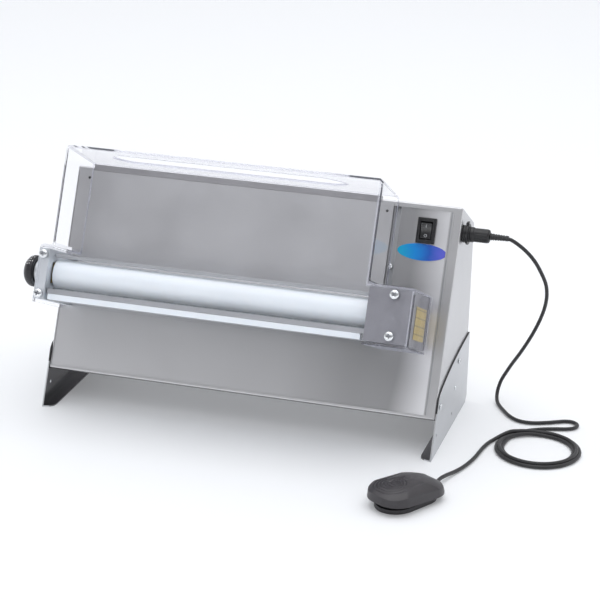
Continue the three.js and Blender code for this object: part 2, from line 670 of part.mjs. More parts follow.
function lead(points, steps) {
  const stops = points.map((point) => new THREE.Vector3(...point));
  const route = new THREE.CatmullRomCurve3(stops, false, 'centripetal');
  const section = asShape(ellipse(2 * CORD_RADIUS, 2 * CORD_RADIUS, 8));
  return new THREE.ExtrudeGeometry(section, { steps, extrudePath: route, bevelEnabled: false });
}

function leadCoil() {
  const { inner, outer, height } = COIL;
  const profile = [
    [inner, 2], [inner + 2, 0.4], [outer - 2, 0.4], [outer, 2], [outer, height - 2], [outer - 3, height],
    [inner + 3, height], [inner, height - 2], [inner, 2]];
  const ring = new THREE.LatheGeometry(profile.map(([radius, up]) => new THREE.Vector2(radius, up)), 36);
  return ring.rotateX(Math.PI / 2).translate(COIL.x, COIL.y, 0);
}

// ---------------------------------------------------------------- pedal
const SPRING_PLACE = -14;
const SPRING_TOP = 21.8;

// The pedal's outline: a wide round nose at -Y and a narrower tail at +Y.
function pedalOutline(width, length, shrink) {
  const half = width / 2 - shrink;
  const nose = -length / 2 + shrink;
  const tail = length / 2 - shrink;
  const shape = new THREE.Shape();
  shape.moveTo(half, nose + 30);
  shape.lineTo(half, tail - 26);
  shape.quadraticCurveTo(half - 2, tail - 4, half - 22, tail);
  shape.lineTo(-half + 22, tail);
  shape.quadraticCurveTo(-half + 4, tail - 4, -half, tail - 30);
  shape.lineTo(-half, nose + 30);
  shape.quadraticCurveTo(-half + 4, nose + 3, -half + 28, nose);
  shape.lineTo(half - 28, nose);
  shape.quadraticCurveTo(half - 4, nose + 3, half, nose + 30);
  return shape;
}

function pedalBase() {
  const { width, length } = PEDAL;
  const slab = prismZ(pedalOutline(width, length, 7), 0, 7);
  const { y: pivotY, z: pivotZ } = PEDAL_PIVOT;
  const ears = [-1, 1].map((side) => (
    box(side * 20 - 2.5, side * 20 + 2.5, pivotY - 4, pivotY + 4, 6, 15.4)
  ));
  const post = box(-8, 8, 44.6, length / 2 - 0.5, 6, 14);
  const pinHoles = barX(2 + GAP, -30, 30, pivotY, pivotZ, 14);
  const springSeat = barZ(7, 5, 9, 0, SPRING_PLACE, 20);
  return cut(join([slab, ...ears, post]), [pinHoles, springSeat]);
}

// The treadle is a cap: highest behind its middle, thin-walled and open below.
function pedalShell() {
  const { width, length } = PEDAL;
  const outer = dome(pedalOutline(width, length, 0), 0);
  const inner = dome(pedalOutline(width, length, 3), 3);
  const { y: pivotY, z: pivotZ } = PEDAL_PIVOT;
  const cheeks = [-1, 1].map((side) => (
    box(side * 28 - 1.8, side * 28 + 1.8, pivotY - 4, pivotY + 4, 9.6, 19)
  ));
  const springBoss = barZ(6, SPRING_TOP + GAP, 33, 0, SPRING_PLACE, 20);
  const leadNotch = box(-10, 10, 36, 60, 5, 16);
  const pinHoles = barX(2 + GAP, -38, 38, pivotY, pivotZ, 14);
  return cut(join([cut(outer, [inner]), ...cheeks, springBoss]), [leadNotch, pinHoles]);
}

// At rest the treadle's lower edge rises towards the nose, which leaves room to press it.
function treadleRim(y) {
  return 9 + (PEDAL_PIVOT.y - y) * 0.055;
}

// Height of the treadle's top at a place in the pedal's frame.
function treadleHeight(x, y) {
  const { width, length } = PEDAL;
  const along = (y + 4) / (length * 0.56);
  const across = x / (width * 0.56);
  const crown = Math.max(0, 1 - along * along * 0.92 - across * across * 0.62);
  return treadleRim(y) + 4.5 + 19.5 * Math.sqrt(crown);
}

// A domed solid over an outline: concentric rings of the outline, shrunk towards its middle and raised.
function dome(shape, wall) {
  const rings = 5;
  const outline = shape.getPoints(4);
  const last = outline[outline.length - 1];
  if (outline[0].distanceTo(last) < 0.01) {
    outline.pop();
  }
  const drop = wall ? 6 : 0;             // the inner form reaches below the rim, to leave it open
  const vertices = [];
  for (const point of outline) {
    vertices.push(point.x, point.y, treadleRim(point.y) - drop);
  }
  for (let ring = 0; ring < rings; ring += 1) {
    const scale = 1 - (ring / rings) ** 1.6;
    for (const point of outline) {
      const x = point.x * scale;
      const y = point.y * scale;
      const top = ring === 0 ? treadleRim(y) + 4.5 : treadleHeight(x, y);
      vertices.push(x, y, top - wall);
    }
  }
  const count = outline.length;
  const faces = [];
  for (let ring = 0; ring < rings; ring += 1) {
    for (let i = 0; i < count; i += 1) {
      const a = ring * count + i;
      const b = ring * count + ((i + 1) % count);
      faces.push(a, b, b + count, a, b + count, a + count);
    }
  }
  const peak = vertices.length / 3;
  vertices.push(0, 0, treadleHeight(0, 0) - wall, 0, 0, treadleRim(0) - drop);
  for (let i = 0; i < count; i += 1) {
    const next = (i + 1) % count;
    faces.push(rings * count + i, rings * count + next, peak);
    faces.push(next, i, peak + 1);
  }
  const geometry = new THREE.BufferGeometry();
  geometry.setAttribute('position', new THREE.Float32BufferAttribute(vertices, 3));
  geometry.setIndex(faces);
  return geometry;
}

function pedalSpring() {
  const wire = new THREE.CatmullRomCurve3(Array.from({ length: 33 }, (_, i) => {
    const angle = (i / 8) * 2 * Math.PI;
    return new THREE.Vector3(5 * Math.cos(angle), 5 * Math.sin(angle) + SPRING_PLACE, 6.2 + i * 0.46);
  }));
  const section = new THREE.Shape(ellipse(1.4, 1.4, 6).map(([x, y]) => new THREE.Vector2(x, y)));
  return new THREE.ExtrudeGeometry(section, { steps: 40, extrudePath: wire, bevelEnabled: false });
}

// ---------------------------------------------------------------- assembly: case
add(sheeter, 'body_shell', bodyShell(), STAINLESS);
add(panel, 'front_panel', frontPanel(), STAINLESS);
add(panel, 'feed_panel', feedPanel(), STAINLESS);
add(panel, 'guard_top_rail', box(27.4, 478, -SHEET - GAP, -GAP, FEED_TOP + GAP, 315.1), STAINLESS);
add(sheeter, 'rear_cover', rearCover(), STAINLESS);
add(sheeter, 'bottom_plate', bottomPlate(), STAINLESS);
const BRACKETS = [['left', -1, -GAP - BRACKET_SHEET], ['right', 1, CASE_WIDTH + GAP + BRACKET_SHEET]];
for (const [name, side, x] of BRACKETS) {
  add(sheeter, `${name}_bracket`, bracket(x, side), STAINLESS);
  BRACKET_SCREWS.forEach(([y, z], i) => {
    const screw = add(sheeter, `${name}_bracket_screw_${i + 1}`, panScrew(4.6, 2.6, 2.2, 8, 12), STEEL);
    screw.position.set(x + side * GAP, y, z);
    screw.rotation.z = side > 0 ? Math.PI : 0;
  });
}

// ---------------------------------------------------------------- assembly: roller head
add(panel, 'left_end_plate', leftEndPlate(), CAST_ALLOY);
add(panel, 'right_gear_housing', rightGearHousing(), CAST_ALLOY);
add(panel, 'rear_roller', roller(REAR_ROLLER_OUT), ROLLER_PLASTIC);
add(panel, 'front_roller', roller(FRONT_ROLLER_OUT), ROLLER_PLASTIC);
add(panel, 'rear_roller_shaft', barX(SHAFT_RADIUS, 6, 548, -REAR_ROLLER_OUT, ROLLER_HEIGHT, 24), STEEL);
add(panel, 'front_roller_shaft', barX(SHAFT_RADIUS, 12.4, 531, -FRONT_ROLLER_OUT, ROLLER_HEIGHT, 24), STEEL);
add(panel, 'rear_bush_left', bush(LEFT_BLOCK.x0, LEFT_BLOCK.x1, REAR_ROLLER_OUT), BRASS);
const rearBushRight = bush(RIGHT_BLOCK.x0, RIGHT_BLOCK.x0 + RIGHT_BLOCK.side, REAR_ROLLER_OUT);
add(panel, 'rear_bush_right', rearBushRight, BRASS);
add(panel, 'front_bearing_left', leftBearing(), BRASS);
add(panel, 'front_bearing_right', rightBearing(), BRASS);
add(panel, 'rear_roller_gear', rollerGear(REAR_ROLLER_OUT, 0), STEEL);
add(panel, 'front_roller_gear', rollerGear(FRONT_ROLLER_OUT, GEAR.teeth % 2 ? 0 : 0.5), STEEL);
const RAIL = { left: ROLLER_LEFT - 1, right: RIGHT_BLOCK.x0 - GAP };
const SCRAPER = { front: -108, back: -100.5 };
add(panel, 'upper_rail', box(RAIL.left, RAIL.right, -92, -84, 162, 166.5), CAST_ALLOY);
add(panel, 'scraper_rail', box(RAIL.left, RAIL.right, SCRAPER.front, SCRAPER.back, 106.8, 114), CAST_ALLOY);
add(panel, 'front_scraper', scraperBlade(FRONT_ROLLER_OUT + 9, 116.8, 98.4, 107.4, 1.5), STEEL);
const scraperBar = box(RAIL.left + 2, RAIL.right - 6, SCRAPER.front, SCRAPER.back, 98.1, 106.5);
add(panel, 'scraper_bar', scraperBar, ROLLER_PLASTIC);
add(panel, 'lower_tie_plate', box(RAIL.left, RAIL.right, -100, -80, 97.4, 100.8), CAST_ALLOY);
add(panel, 'rear_scraper', scraperBlade(REAR_ROLLER_OUT - 9, 118.2, 6, 104, 2), STEEL);

// ---------------------------------------------------------------- assembly: guard
add(panel, 'guard', guard(), CLEAR);
GUARD_SCREWS.forEach(([x, s], i) => {
  const screw = add(panel, `guard_screw_${i + 1}`, panScrew(7, 4.4, 2.5, 12.4), STEEL);
  screw.position.set(x, -BLOCK_FRONT - GUARD_SHEET - 2 * GAP - 0.1, s);
  screw.rotation.z = Math.PI / 2;
});

// ---------------------------------------------------------------- assembly: gap knob
for (const [name, geometry, material] of [
  ['gap_knob', gapKnob(), BLACK_PLASTIC],
  ['knob_spindle', knobSpindle(), STEEL],
  ['knob_collar', knobCollar(), CAST_ALLOY],
]) {
  add(panel, name, geometry, material).position.set(0, -KNOB_AXIS.n, KNOB_AXIS.s);
}

// ---------------------------------------------------------------- assembly: switch, badge, label
add(panel, 'switch_body', switchBody(), BLACK_PLASTIC).position.set(SWITCH.x, SHEET - GAP, SWITCH.s);
add(panel, 'switch_rocker', switchRocker(), BLACK_PLASTIC).position.set(SWITCH.x, SHEET - GAP, SWITCH.s);
add(panel, 'badge_plate', prismY(ellipse(73, 25), 0.7, SHEET), BADGE_BLUE).position.set(547.3, 0, 240);
add(panel, 'warning_label', box(567.3, 567.8, -84, -12, 108.5, 155.5), LABEL_YELLOW);

// ---------------------------------------------------------------- assembly: motor unit
add(sheeter, 'gear_motor', gearMotor(), MOTOR_PAINT);
add(sheeter, 'gearbox', gearbox(), CAST_ALLOY);
add(sheeter, 'motor_mount', motorMount(), STEEL);
add(sheeter, 'drive_sprocket', driveSprocket(), STEEL);
add(sheeter, 'roller_sprocket', sprocket(
  CHAIN.rollerTeeth, REAR_AXIS.x, REAR_AXIS.y, CHAIN.x0, CHAIN.x0 + CHAIN.width, SHAFT_RADIUS + GAP,
), STEEL);
add(sheeter, 'drive_chain', driveChain(), CHAIN_STEEL);
add(sheeter, 'control_box', controlBox(), BLACK_PLASTIC);
const gland = turned([[0, -12], [6.8, -12], [6.8, 2], [11, 2], [11, 8], [9, 10], [7, 17], [0, 17]], 12);
add(sheeter, 'mains_gland', cut(gland, [barX(3.6, 4, 20, 0, 0, 16)]), BLACK_PLASTIC);

const glandMesh = sheeter.getObjectByName('mains_gland');
glandMesh.rotation.z = Math.PI / 2;
glandMesh.position.set(GLAND.x, CASE_DEPTH + SHEET + 2 * GAP - 2, GLAND.z);

// ---------------------------------------------------------------- assembly: lead
for (const [name, geometry, material] of [
  ['pedal_socket', pedalSocket(), BLACK_PLASTIC],
  ['pedal_plug', pedalPlug(), BLACK_PLASTIC],
  ['plug_boot', plugBoot(), RUBBER],
]) {
  add(sheeter, name, geometry, material).position.set(CASE_WIDTH, SOCKET.y, SOCKET.z);
}
add(sheeter, 'cord_upper', lead(UPPER_LEAD, 50), RUBBER);
add(sheeter, 'cord_coil', leadCoil(), RUBBER);
add(sheeter, 'cord_lower', lead(LOWER_LEAD, 18), RUBBER);

// ---------------------------------------------------------------- assembly: pedal
add(pedal, 'pedal_base', pedalBase(), PEDAL_PLASTIC);
add(pedal, 'pedal_treadle', pedalShell(), PEDAL_PLASTIC);
add(pedal, 'pedal_hinge_pin', barX(2, -29.6, 29.6, PEDAL_PIVOT.y, PEDAL_PIVOT.z, 14), STEEL);
add(pedal, 'pedal_spring', pedalSpring(), STEEL);

// ---------------------------------------------------------------- origin
// The origin is the middle of the footprint of the machine and its pedal, without the lead.
const LEAD_PIECES = ['pedal_plug', 'plug_boot', 'cord_upper', 'cord_coil', 'cord_lower'];
machine.updateMatrixWorld(true);
const footprint = new THREE.Box3();
machine.traverse((object) => {
  if (object.isMesh && !LEAD_PIECES.includes(object.name)) {
    footprint.expandByObject(object, true);
  }
});
const middle = footprint.getCenter(new THREE.Vector3());
sheeter.position.set(-middle.x, -middle.y, 0);
machine.updateMatrixWorld(true);

export default machine;
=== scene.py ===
"""Looks for the dough and pasta roller machine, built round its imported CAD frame.

Metres, +Z up, in the CAD's own frame. Pieces are drawn in millimetres in one of three local frames:
MACHINE (x = 0 the case's left side, y = 0 the front panel's foot, z = 0 the table), PANEL (the sloping
front: X along the rollers, -Y out of the panel, Z up the slope) and PEDAL (the pedal's own axes).
"""
import math

import bmesh
import bpy
from mathutils import Matrix, Vector


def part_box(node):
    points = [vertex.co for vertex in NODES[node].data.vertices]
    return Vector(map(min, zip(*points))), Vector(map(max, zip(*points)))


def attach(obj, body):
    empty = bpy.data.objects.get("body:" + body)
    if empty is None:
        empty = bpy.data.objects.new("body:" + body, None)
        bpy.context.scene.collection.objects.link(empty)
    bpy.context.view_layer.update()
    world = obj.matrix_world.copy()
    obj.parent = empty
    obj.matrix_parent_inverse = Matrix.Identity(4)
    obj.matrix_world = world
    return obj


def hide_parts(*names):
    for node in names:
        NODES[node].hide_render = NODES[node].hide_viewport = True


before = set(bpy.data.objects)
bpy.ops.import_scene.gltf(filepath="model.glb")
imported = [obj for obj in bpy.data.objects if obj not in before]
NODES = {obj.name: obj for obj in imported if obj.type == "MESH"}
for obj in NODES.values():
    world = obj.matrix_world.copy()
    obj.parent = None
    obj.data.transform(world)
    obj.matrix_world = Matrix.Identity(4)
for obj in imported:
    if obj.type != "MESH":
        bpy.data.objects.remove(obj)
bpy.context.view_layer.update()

SCENE = bpy.context.scene

# -------- local frames and shared dimensions
MM = 0.001
CASE_WIDTH = 600
CASE_DEPTH = 216.5
SHEET = 1.5
PANEL_FOOT = 55
TILT = math.radians(24.3)
PEDAL_PLACE = (597.6, -162.5, 0)
PEDAL_TURN = math.radians(-31)

shell_low, shell_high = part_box("body_shell")
OFFSET = Vector((shell_low.x, shell_high.y - CASE_DEPTH * MM, 0))
MACHINE = Matrix.Translation(OFFSET) @ Matrix.Scale(MM, 4)
PANEL = MACHINE @ Matrix.Translation((0, 0, PANEL_FOOT)) @ Matrix.Rotation(-TILT, 4, "X")
PEDAL = MACHINE @ Matrix.Translation(PEDAL_PLACE) @ Matrix.Rotation(PEDAL_TURN, 4, "Z")
OUT_OF_PANEL = Matrix.Rotation(-math.pi / 2, 4, "Z")    # turns a form about +X to point out of the panel


def push_along_x(start):
    """Places a prism so that its outline is (y, z) and it is pushed along +X from start."""
    return Matrix(((0, 0, 1, start), (1, 0, 0, 0), (0, 1, 0, 0), (0, 0, 0, 1)))


def push_along_y(start, up=0):
    """Places a prism so that its outline is (x, z), raised by up, and it is pushed along +Y from start."""
    return Matrix(((1, 0, 0, 0), (0, 0, 1, start), (0, 1, 0, up), (0, 0, 0, 1)))


# -------- camera
def make_camera():
    yaw, pitch, roll = (math.radians(angle) for angle in (16.017, 20.506, 1.387))
    forward = Vector((-math.sin(yaw) * math.cos(pitch), math.cos(yaw) * math.cos(pitch), -math.sin(pitch)))
    level = Vector((math.cos(yaw), math.sin(yaw), 0))
    upright = level.cross(forward)
    right = level * math.cos(roll) + upright * math.sin(roll)
    up = upright * math.cos(roll) - level * math.sin(roll)
    data = bpy.data.cameras.new("camera")
    data.lens = 124.35
    data.sensor_width = 36
    camera = bpy.data.objects.new("camera", data)
    turn = Matrix((right, up, -forward)).transposed().to_4x4()
    camera.matrix_world = Matrix.Translation(MACHINE @ Vector((1165.39, -2689.14, 1260.62))) @ turn
    SCENE.collection.objects.link(camera)
    SCENE.camera = camera


make_camera()


# -------- materials
class Look:
    """A Principled material under construction, with its node tree's common parts."""

    def __init__(self, name, color, roughness, metallic=0.0, **sockets):
        self.material = bpy.data.materials.new(name)
        self.material.use_nodes = True
        self.tree = self.material.node_tree
        self.shader = next(n for n in self.tree.nodes if n.type == "BSDF_PRINCIPLED")
        self.output = next(n for n in self.tree.nodes if n.type == "OUTPUT_MATERIAL")
        self.set("Base Color", (*color, 1))
        self.set("Roughness", roughness)
        self.set("Metallic", metallic)
        for socket, value in sockets.items():
            self.set(socket.replace("_", " "), value)
        self.place = self.node("ShaderNodeTexCoord").outputs["Object"]

    def node(self, kind, **values):
        made = self.tree.nodes.new(kind)
        for key, value in values.items():
            setattr(made, key, value)
        return made

    def link(self, start, end):
        self.tree.links.new(start, end)

    def set(self, socket, value):
        self.shader.inputs[socket].default_value = value

    def stretched(self, scale, turn=(0, 0, 0)):
        """Object coordinates, turned and scaled along each axis."""
        mapping = self.node("ShaderNodeMapping", vector_type="POINT")
        mapping.inputs["Rotation"].default_value = turn
        mapping.inputs["Scale"].default_value = scale
        self.link(self.place, mapping.inputs["Vector"])
        return mapping.outputs["Vector"]

    def noise(self, vector, detail=3.0, roughness=0.55):
        texture = self.node("ShaderNodeTexNoise")
        texture.inputs["Scale"].default_value = 1.0
        texture.inputs["Detail"].default_value = detail
        texture.inputs["Roughness"].default_value = roughness
        self.link(vector, texture.inputs["Vector"])
        return texture.outputs["Fac"]

    def cells(self, vector, feature="F1"):
        texture = self.node("ShaderNodeTexVoronoi", feature=feature)
        texture.inputs["Scale"].default_value = 1.0
        self.link(vector, texture.inputs["Vector"])
        return texture.outputs["Distance"]

    def to_range(self, value, low, high, start=0.3, end=0.7):
        """A value from a texture, spread over low to high."""
        spread = self.node("ShaderNodeMapRange")
        for socket, number in (("From Min", start), ("From Max", end), ("To Min", low), ("To Max", high)):
            spread.inputs[socket].default_value = number
        self.link(value, spread.inputs["Value"])
        return spread.outputs["Result"]

    def ramp(self, value, stops):
        """Colours along a value: stops are (position, (r, g, b))."""
        ramp = self.node("ShaderNodeValToRGB")
        elements = ramp.color_ramp.elements
        while len(elements) < len(stops):
            elements.new(0.5)
        for element, (position, color) in zip(elements, stops):
            element.position = position
            element.color = (*color, 1)
        self.link(value, ramp.inputs["Fac"])
        return ramp.outputs["Color"]

    def math(self, operation, *values):
        made = self.node("ShaderNodeMath", operation=operation)
        for socket, value in zip(made.inputs, values):
            if isinstance(value, (int, float)):
                socket.default_value = value
            else:
                self.link(value, socket)
        return made.outputs["Value"]

    def bump(self, height, distance, strength=1.0):
        bump = self.node("ShaderNodeBump")
        bump.inputs["Distance"].default_value = distance
        bump.inputs["Strength"].default_value = strength
        self.link(height, bump.inputs["Height"])
        self.link(bump.outputs["Normal"], self.shader.inputs["Normal"])


def mottled(look, scale, dark, light, rough_low, rough_high, detail=4.0):
    """Slow patches of colour and a finer spread of roughness."""
    patches = look.noise(look.stretched((scale,) * 3), detail)
    look.link(look.ramp(patches, [(0.3, dark), (0.7, light)]), look.shader.inputs["Base Color"])
    fine = look.noise(look.stretched((scale * 5,) * 3), 2.0)
    look.link(look.to_range(fine, rough_low, rough_high), look.shader.inputs["Roughness"])


def brushed(name, color, lines, rough_low, rough_high, painted_reflection=()):
    """Rolled stainless sheet: fine lines along one axis, slow smudges, and a colour that drifts.

    Painted reflection, given as (position, tone) from the left side of the case to its right, makes the sheet
    lighter or darker across it.
    """
    look = Look(name, color, rough_low, 1.0)
    grain = look.noise(look.stretched(lines), 4.0, 0.6)
    smudges = look.noise(look.stretched((9, 9, 9)), 3.0)
    rough = look.math("ADD", look.to_range(grain, rough_low, rough_high),
                      look.to_range(smudges, -0.04, 0.04))
    look.link(rough, look.shader.inputs["Roughness"])
    drift = look.noise(look.stretched((3.1, 2.3, 2.7)), 2.0)
    stops = [(0.35, 0.93), (0.65, 1.0)]
    # With painted reflection the colour follows it across the case, with only a little drift.
    if painted_reflection:
        parts = look.node("ShaderNodeSeparateXYZ")
        look.link(look.place, parts.inputs["Vector"])
        low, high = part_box("body_shell")
        across = look.to_range(parts.outputs["X"], 0.0, 1.0, low.x, high.x)
        drift = look.math("ADD", across, look.to_range(drift, -0.03, 0.03))
        stops = painted_reflection
    shades = [(position, tuple(min(1.0, channel * tone) for channel in color)) for position, tone in stops]
    look.link(look.ramp(drift, shades), look.shader.inputs["Base Color"])
    look.bump(grain, 0.000008, 0.2)
    return look.material


def machined(name, color, roughness, along="x"):
    """Turned or milled metal: very fine lines round or along the piece."""
    look = Look(name, color, roughness, 1.0)
    lines = look.noise(look.stretched((2600, 90, 90) if along == "x" else (90, 2600, 90)), 3.0)
    look.link(look.to_range(lines, roughness - 0.06, roughness + 0.1), look.shader.inputs["Roughness"])
    stains = look.noise(look.stretched((40, 40, 40)), 3.0)
    darker = tuple(channel * 0.86 for channel in color)
    look.link(look.ramp(stains, [(0.35, darker), (0.62, color)]), look.shader.inputs["Base Color"])
    look.bump(lines, 0.00002, 0.5)
    return look.material


def cast_alloy(name, color):
    """Bead-blasted and lightly sealed aluminium."""
    look = Look(name, color, 0.42, 0.85)
    darker = tuple(channel * 0.88 for channel in color)
    mottled(look, 26, darker, color, 0.34, 0.5)
    look.bump(look.noise(look.stretched((1800, 1800, 1800)), 2.0), 0.00003, 0.6)
    return look.material


def moulded(name, color, roughness, grain=1500, depth=0.00004, coat=0.0):
    """Injection-moulded plastic with an even spark-eroded grain."""
    look = Look(name, color, roughness, 0.0, Coat_Weight=coat, Coat_Roughness=0.2)
    lighter = tuple(min(1.0, channel * 1.18 + 0.003) for channel in color)
    mottled(look, 34, color, lighter, roughness - 0.05, roughness + 0.07)
    look.bump(look.cells(look.stretched((grain,) * 3)), depth, 0.5)
    return look.material


def roller_plastic():
    look = Look("roller_plastic", (0.76, 0.80, 0.83), 0.3, Subsurface_Weight=0.12)
    look.set("Subsurface Radius", (0.004, 0.005, 0.006))
    turning = look.noise(look.stretched((1400, 14, 14)), 3.0)
    look.link(look.to_range(turning, 0.27, 0.4), look.shader.inputs["Roughness"])
    drift = look.noise(look.stretched((7, 30, 30)), 2.0)
    look.link(look.ramp(drift, [(0.3, (0.73, 0.775, 0.81)), (0.7, (0.77, 0.815, 0.85))]),
              look.shader.inputs["Base Color"])
    look.bump(turning, 0.00002, 0.3)
    return look.material


def clear_sheet(name, tint, refraction, rough):
    """Clear plastic sheet. Shadow rays go straight through it, only a little dimmed."""
    look = Look(name, tint, rough, 0.0, IOR=refraction)
    look.set("Transmission Weight", 1.0)
    smears = look.noise(look.stretched((7, 3, 11), (0.3, 0.2, 0.5)), 3.0)
    look.link(look.to_range(smears, rough * 0.5, rough * 1.6, 0.4, 0.75), look.shader.inputs["Roughness"])
    look.bump(look.noise(look.stretched((9, 9, 9)), 1.0), 0.0003, 0.03)
    passing = look.node("ShaderNodeBsdfTransparent")
    passing.inputs["Color"].default_value = (0.95, 0.95, 0.965, 1)
    mix = look.node("ShaderNodeMixShader")
    look.link(look.node("ShaderNodeLightPath").outputs["Is Shadow Ray"], mix.inputs["Fac"])
    look.link(look.shader.outputs["BSDF"], mix.inputs[1])
    look.link(passing.outputs["BSDF"], mix.inputs[2])
    look.link(mix.outputs["Shader"], look.output.inputs["Surface"])
    return look.material


def sheet_edge(name, tint, alpha, rough):
    """Bent or sawn clear sheet as a faint lavender film: on the folds a painted reflection of the light the
    bend catches, on sawn edges also their own frosting.
    """
    look = Look(name, tint, rough, 0.0, IOR=1.3, Alpha=alpha)
    haze = look.noise(look.stretched((60, 60, 60)), 2.0)
    look.link(look.to_range(haze, rough * 0.7, rough * 1.3), look.shader.inputs["Roughness"])
    look.bump(haze, 0.0001, 0.2)
    return look.material


def sheath(name, color):
    """Soft PVC lead sheath: faint mottling and a fine even grain, slightly dusty."""
    look = Look(name, color, 0.5, 0.0, Sheen_Weight=0.15, Sheen_Roughness=0.5)
    lighter = tuple(channel * 1.5 + 0.004 for channel in color)
    mottled(look, 60, color, lighter, 0.42, 0.58)
    look.bump(look.noise(look.stretched((900, 900, 900)), 2.0), 0.00005, 0.4)
    return look.material


def badge_resin():
    """Domed glossy resin, blending from cyan at its left end to violet at its right."""
    look = Look("badge_resin", (0.02, 0.25, 0.7), 0.12, 0.0, Coat_Weight=0.4, Coat_Roughness=0.04)
    low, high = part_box("badge_plate")
    parts = look.node("ShaderNodeSeparateXYZ")
    look.link(look.place, parts.inputs["Vector"])
    along = look.to_range(parts.outputs["X"], 0.0, 1.0, low.x, high.x)
    flow = look.math("ADD", along, look.to_range(look.noise(look.stretched((30, 60, 60)), 2.0), -0.05, 0.05))
    colors = [(0.0, (0.0, 0.34, 0.56)), (0.35, (0.0, 0.22, 0.62)), (0.65, (0.01, 0.09, 0.44)),
              (1.0, (0.12, 0.12, 0.62))]
    look.link(look.ramp(flow, colors), look.shader.inputs["Base Color"])
    return look.material


def label_film():
    """Yellow printed film with plain darker bands in place of any wording."""
    look = Look("label_film", (0.8, 0.62, 0.2), 0.45)
    along = look.node("ShaderNodeVectorMath", operation="DOT_PRODUCT")
    slope = Vector((0, math.sin(TILT), math.cos(TILT)))
    along.inputs[1].default_value = slope
    look.link(look.place, along.inputs[0])
    low, high = ((PANEL @ Vector((0, -48, up))) @ slope for up in (108.5, 155.5))
    up = look.to_range(along.outputs["Value"], 0.0, 1.0, low, high)
    bands = look.math("FRACT", look.math("MULTIPLY", up, 4.0))
    ink = look.math("MULTIPLY", look.math("GREATER_THAN", bands, 0.62), look.math("LESS_THAN", bands, 0.8))
    faded = look.to_range(look.noise(look.stretched((160, 160, 160)), 3.0), 0.0, 0.2)
    shade = look.math("ADD", look.math("MULTIPLY", ink, 0.55), faded)
    look.link(look.ramp(shade, [(0.0, (0.52, 0.40, 0.13)), (0.9, (0.18, 0.14, 0.07))]),
              look.shader.inputs["Base Color"])
    look.bump(faded, 0.00004, 0.4)
    return look.material


def chain_steel():
    """Oiled chain: uneven cells half a pitch wide stand in for its plates and rollers."""
    look = Look("chain_steel", (0.2, 0.19, 0.18), 0.4, 0.9)
    mottled(look, 110, (0.09, 0.085, 0.08), (0.3, 0.29, 0.27), 0.3, 0.55)
    look.bump(look.cells(look.stretched((210, 210, 210))), 0.0006, 0.7)
    return look.material


LEVEL_LINES = (14, 2600, 2600)
STAINLESS = brushed("stainless_level", (0.58, 0.58, 0.592), LEVEL_LINES, 0.33, 0.41)
# Painted reflection across the front panel: darker towards its right, then a painted highlight along its
# right edge.
FRONT_PAINTED_REFLECTION = [(0, 1.0), (0.35, 0.95), (0.60, 0.86), (0.78, 0.66), (0.88, 0.62), (0.93, 1.05), (0.98, 1.5)]
PAINTED_FRONT_STAINLESS = brushed("stainless_front_painted_reflection", (0.60, 0.60, 0.615), LEVEL_LINES, 0.33, 0.41, FRONT_PAINTED_REFLECTION)
STRIP_STAINLESS = brushed("stainless_strip", (0.42, 0.415, 0.43), LEVEL_LINES, 0.3, 0.4)
# A darker, glossier copy of the stainless: painted shade for faces that sit in shadow.
SHADED_STAINLESS = brushed("stainless_shaded", (0.22, 0.216, 0.223), LEVEL_LINES, 0.16, 0.26)
FOOT_STAINLESS = brushed("stainless_foot", (0.57, 0.58, 0.60), (1300, 14, 1300), 0.34, 0.42)
HOUSING_ALLOY = cast_alloy("housing_alloy", (0.33, 0.33, 0.36))
LIGHT_ALLOY = cast_alloy("light_alloy", (0.74, 0.77, 0.80))
RAIL_ALLOY = cast_alloy("rail_alloy", (0.46, 0.47, 0.49))
STEEL = machined("turned_steel", (0.62, 0.63, 0.64), 0.24)
ZINC = machined("zinc_plate", (0.78, 0.80, 0.82), 0.2, "y")
BRASS = machined("bearing_brass", (0.66, 0.5, 0.24), 0.32)
ROLLER = roller_plastic()
CLEAR = clear_sheet("clear_sheet", (0.99, 0.99, 1.0), 1.07, 0.02)
CLEAR_FOLD = sheet_edge("clear_fold", (0.62, 0.63, 0.72), 0.22, 0.2)
CLEAR_EDGE = sheet_edge("clear_sawn_edge", (0.60, 0.61, 0.70), 0.42, 0.35)
GUARD_LOOKS = [CLEAR, CLEAR_FOLD, CLEAR_EDGE]
KNOB_PLASTIC = moulded("knob_plastic", (0.009, 0.0085, 0.011), 0.34, 900, 0.00006)
BLACK = moulded("black_plastic", (0.006, 0.006, 0.0075), 0.36)
ROCKER_PLASTIC = moulded("rocker_plastic", (0.008, 0.008, 0.01), 0.2, coat=0.4)
WHITE_INK = moulded("white_ink", (0.82, 0.83, 0.84), 0.45)
GREY_INK = moulded("grey_ink", (0.35, 0.36, 0.37), 0.45)
PEDAL_PLASTIC = moulded("pedal_plastic", (0.030, 0.027, 0.031), 0.38, 1100, 0.00007)
BASE_PLASTIC = moulded("pedal_base_plastic", (0.02, 0.019, 0.022), 0.46, 900, 0.00008)
MOTOR_PAINT = moulded("motor_paint", (0.035, 0.045, 0.055), 0.38, 300, 0.00006)
CORD_SHEATH = sheath("cord_sheath", (0.0085, 0.008, 0.0095))
BOOT_RUBBER = sheath("boot_rubber", (0.014, 0.014, 0.016))
BADGE = badge_resin()
LABEL = label_film()
CHAIN = chain_steel()
DARK_GAP = moulded("shadowed_recess", (0.02, 0.02, 0.022), 0.6)
# Flat grey for the insides of screw recesses: painted shade.
RECESS_PAINTED_SHADE = moulded("screw_recess_painted_shade", (0.34, 0.35, 0.38), 0.5)


# -------- mesh helpers
def sharp_edges(bm, degrees):
    bm.normal_update()
    limit = math.radians(degrees)
    return [e for e in bm.edges if len(e.link_faces) == 2 and e.calc_face_angle(0) > limit]


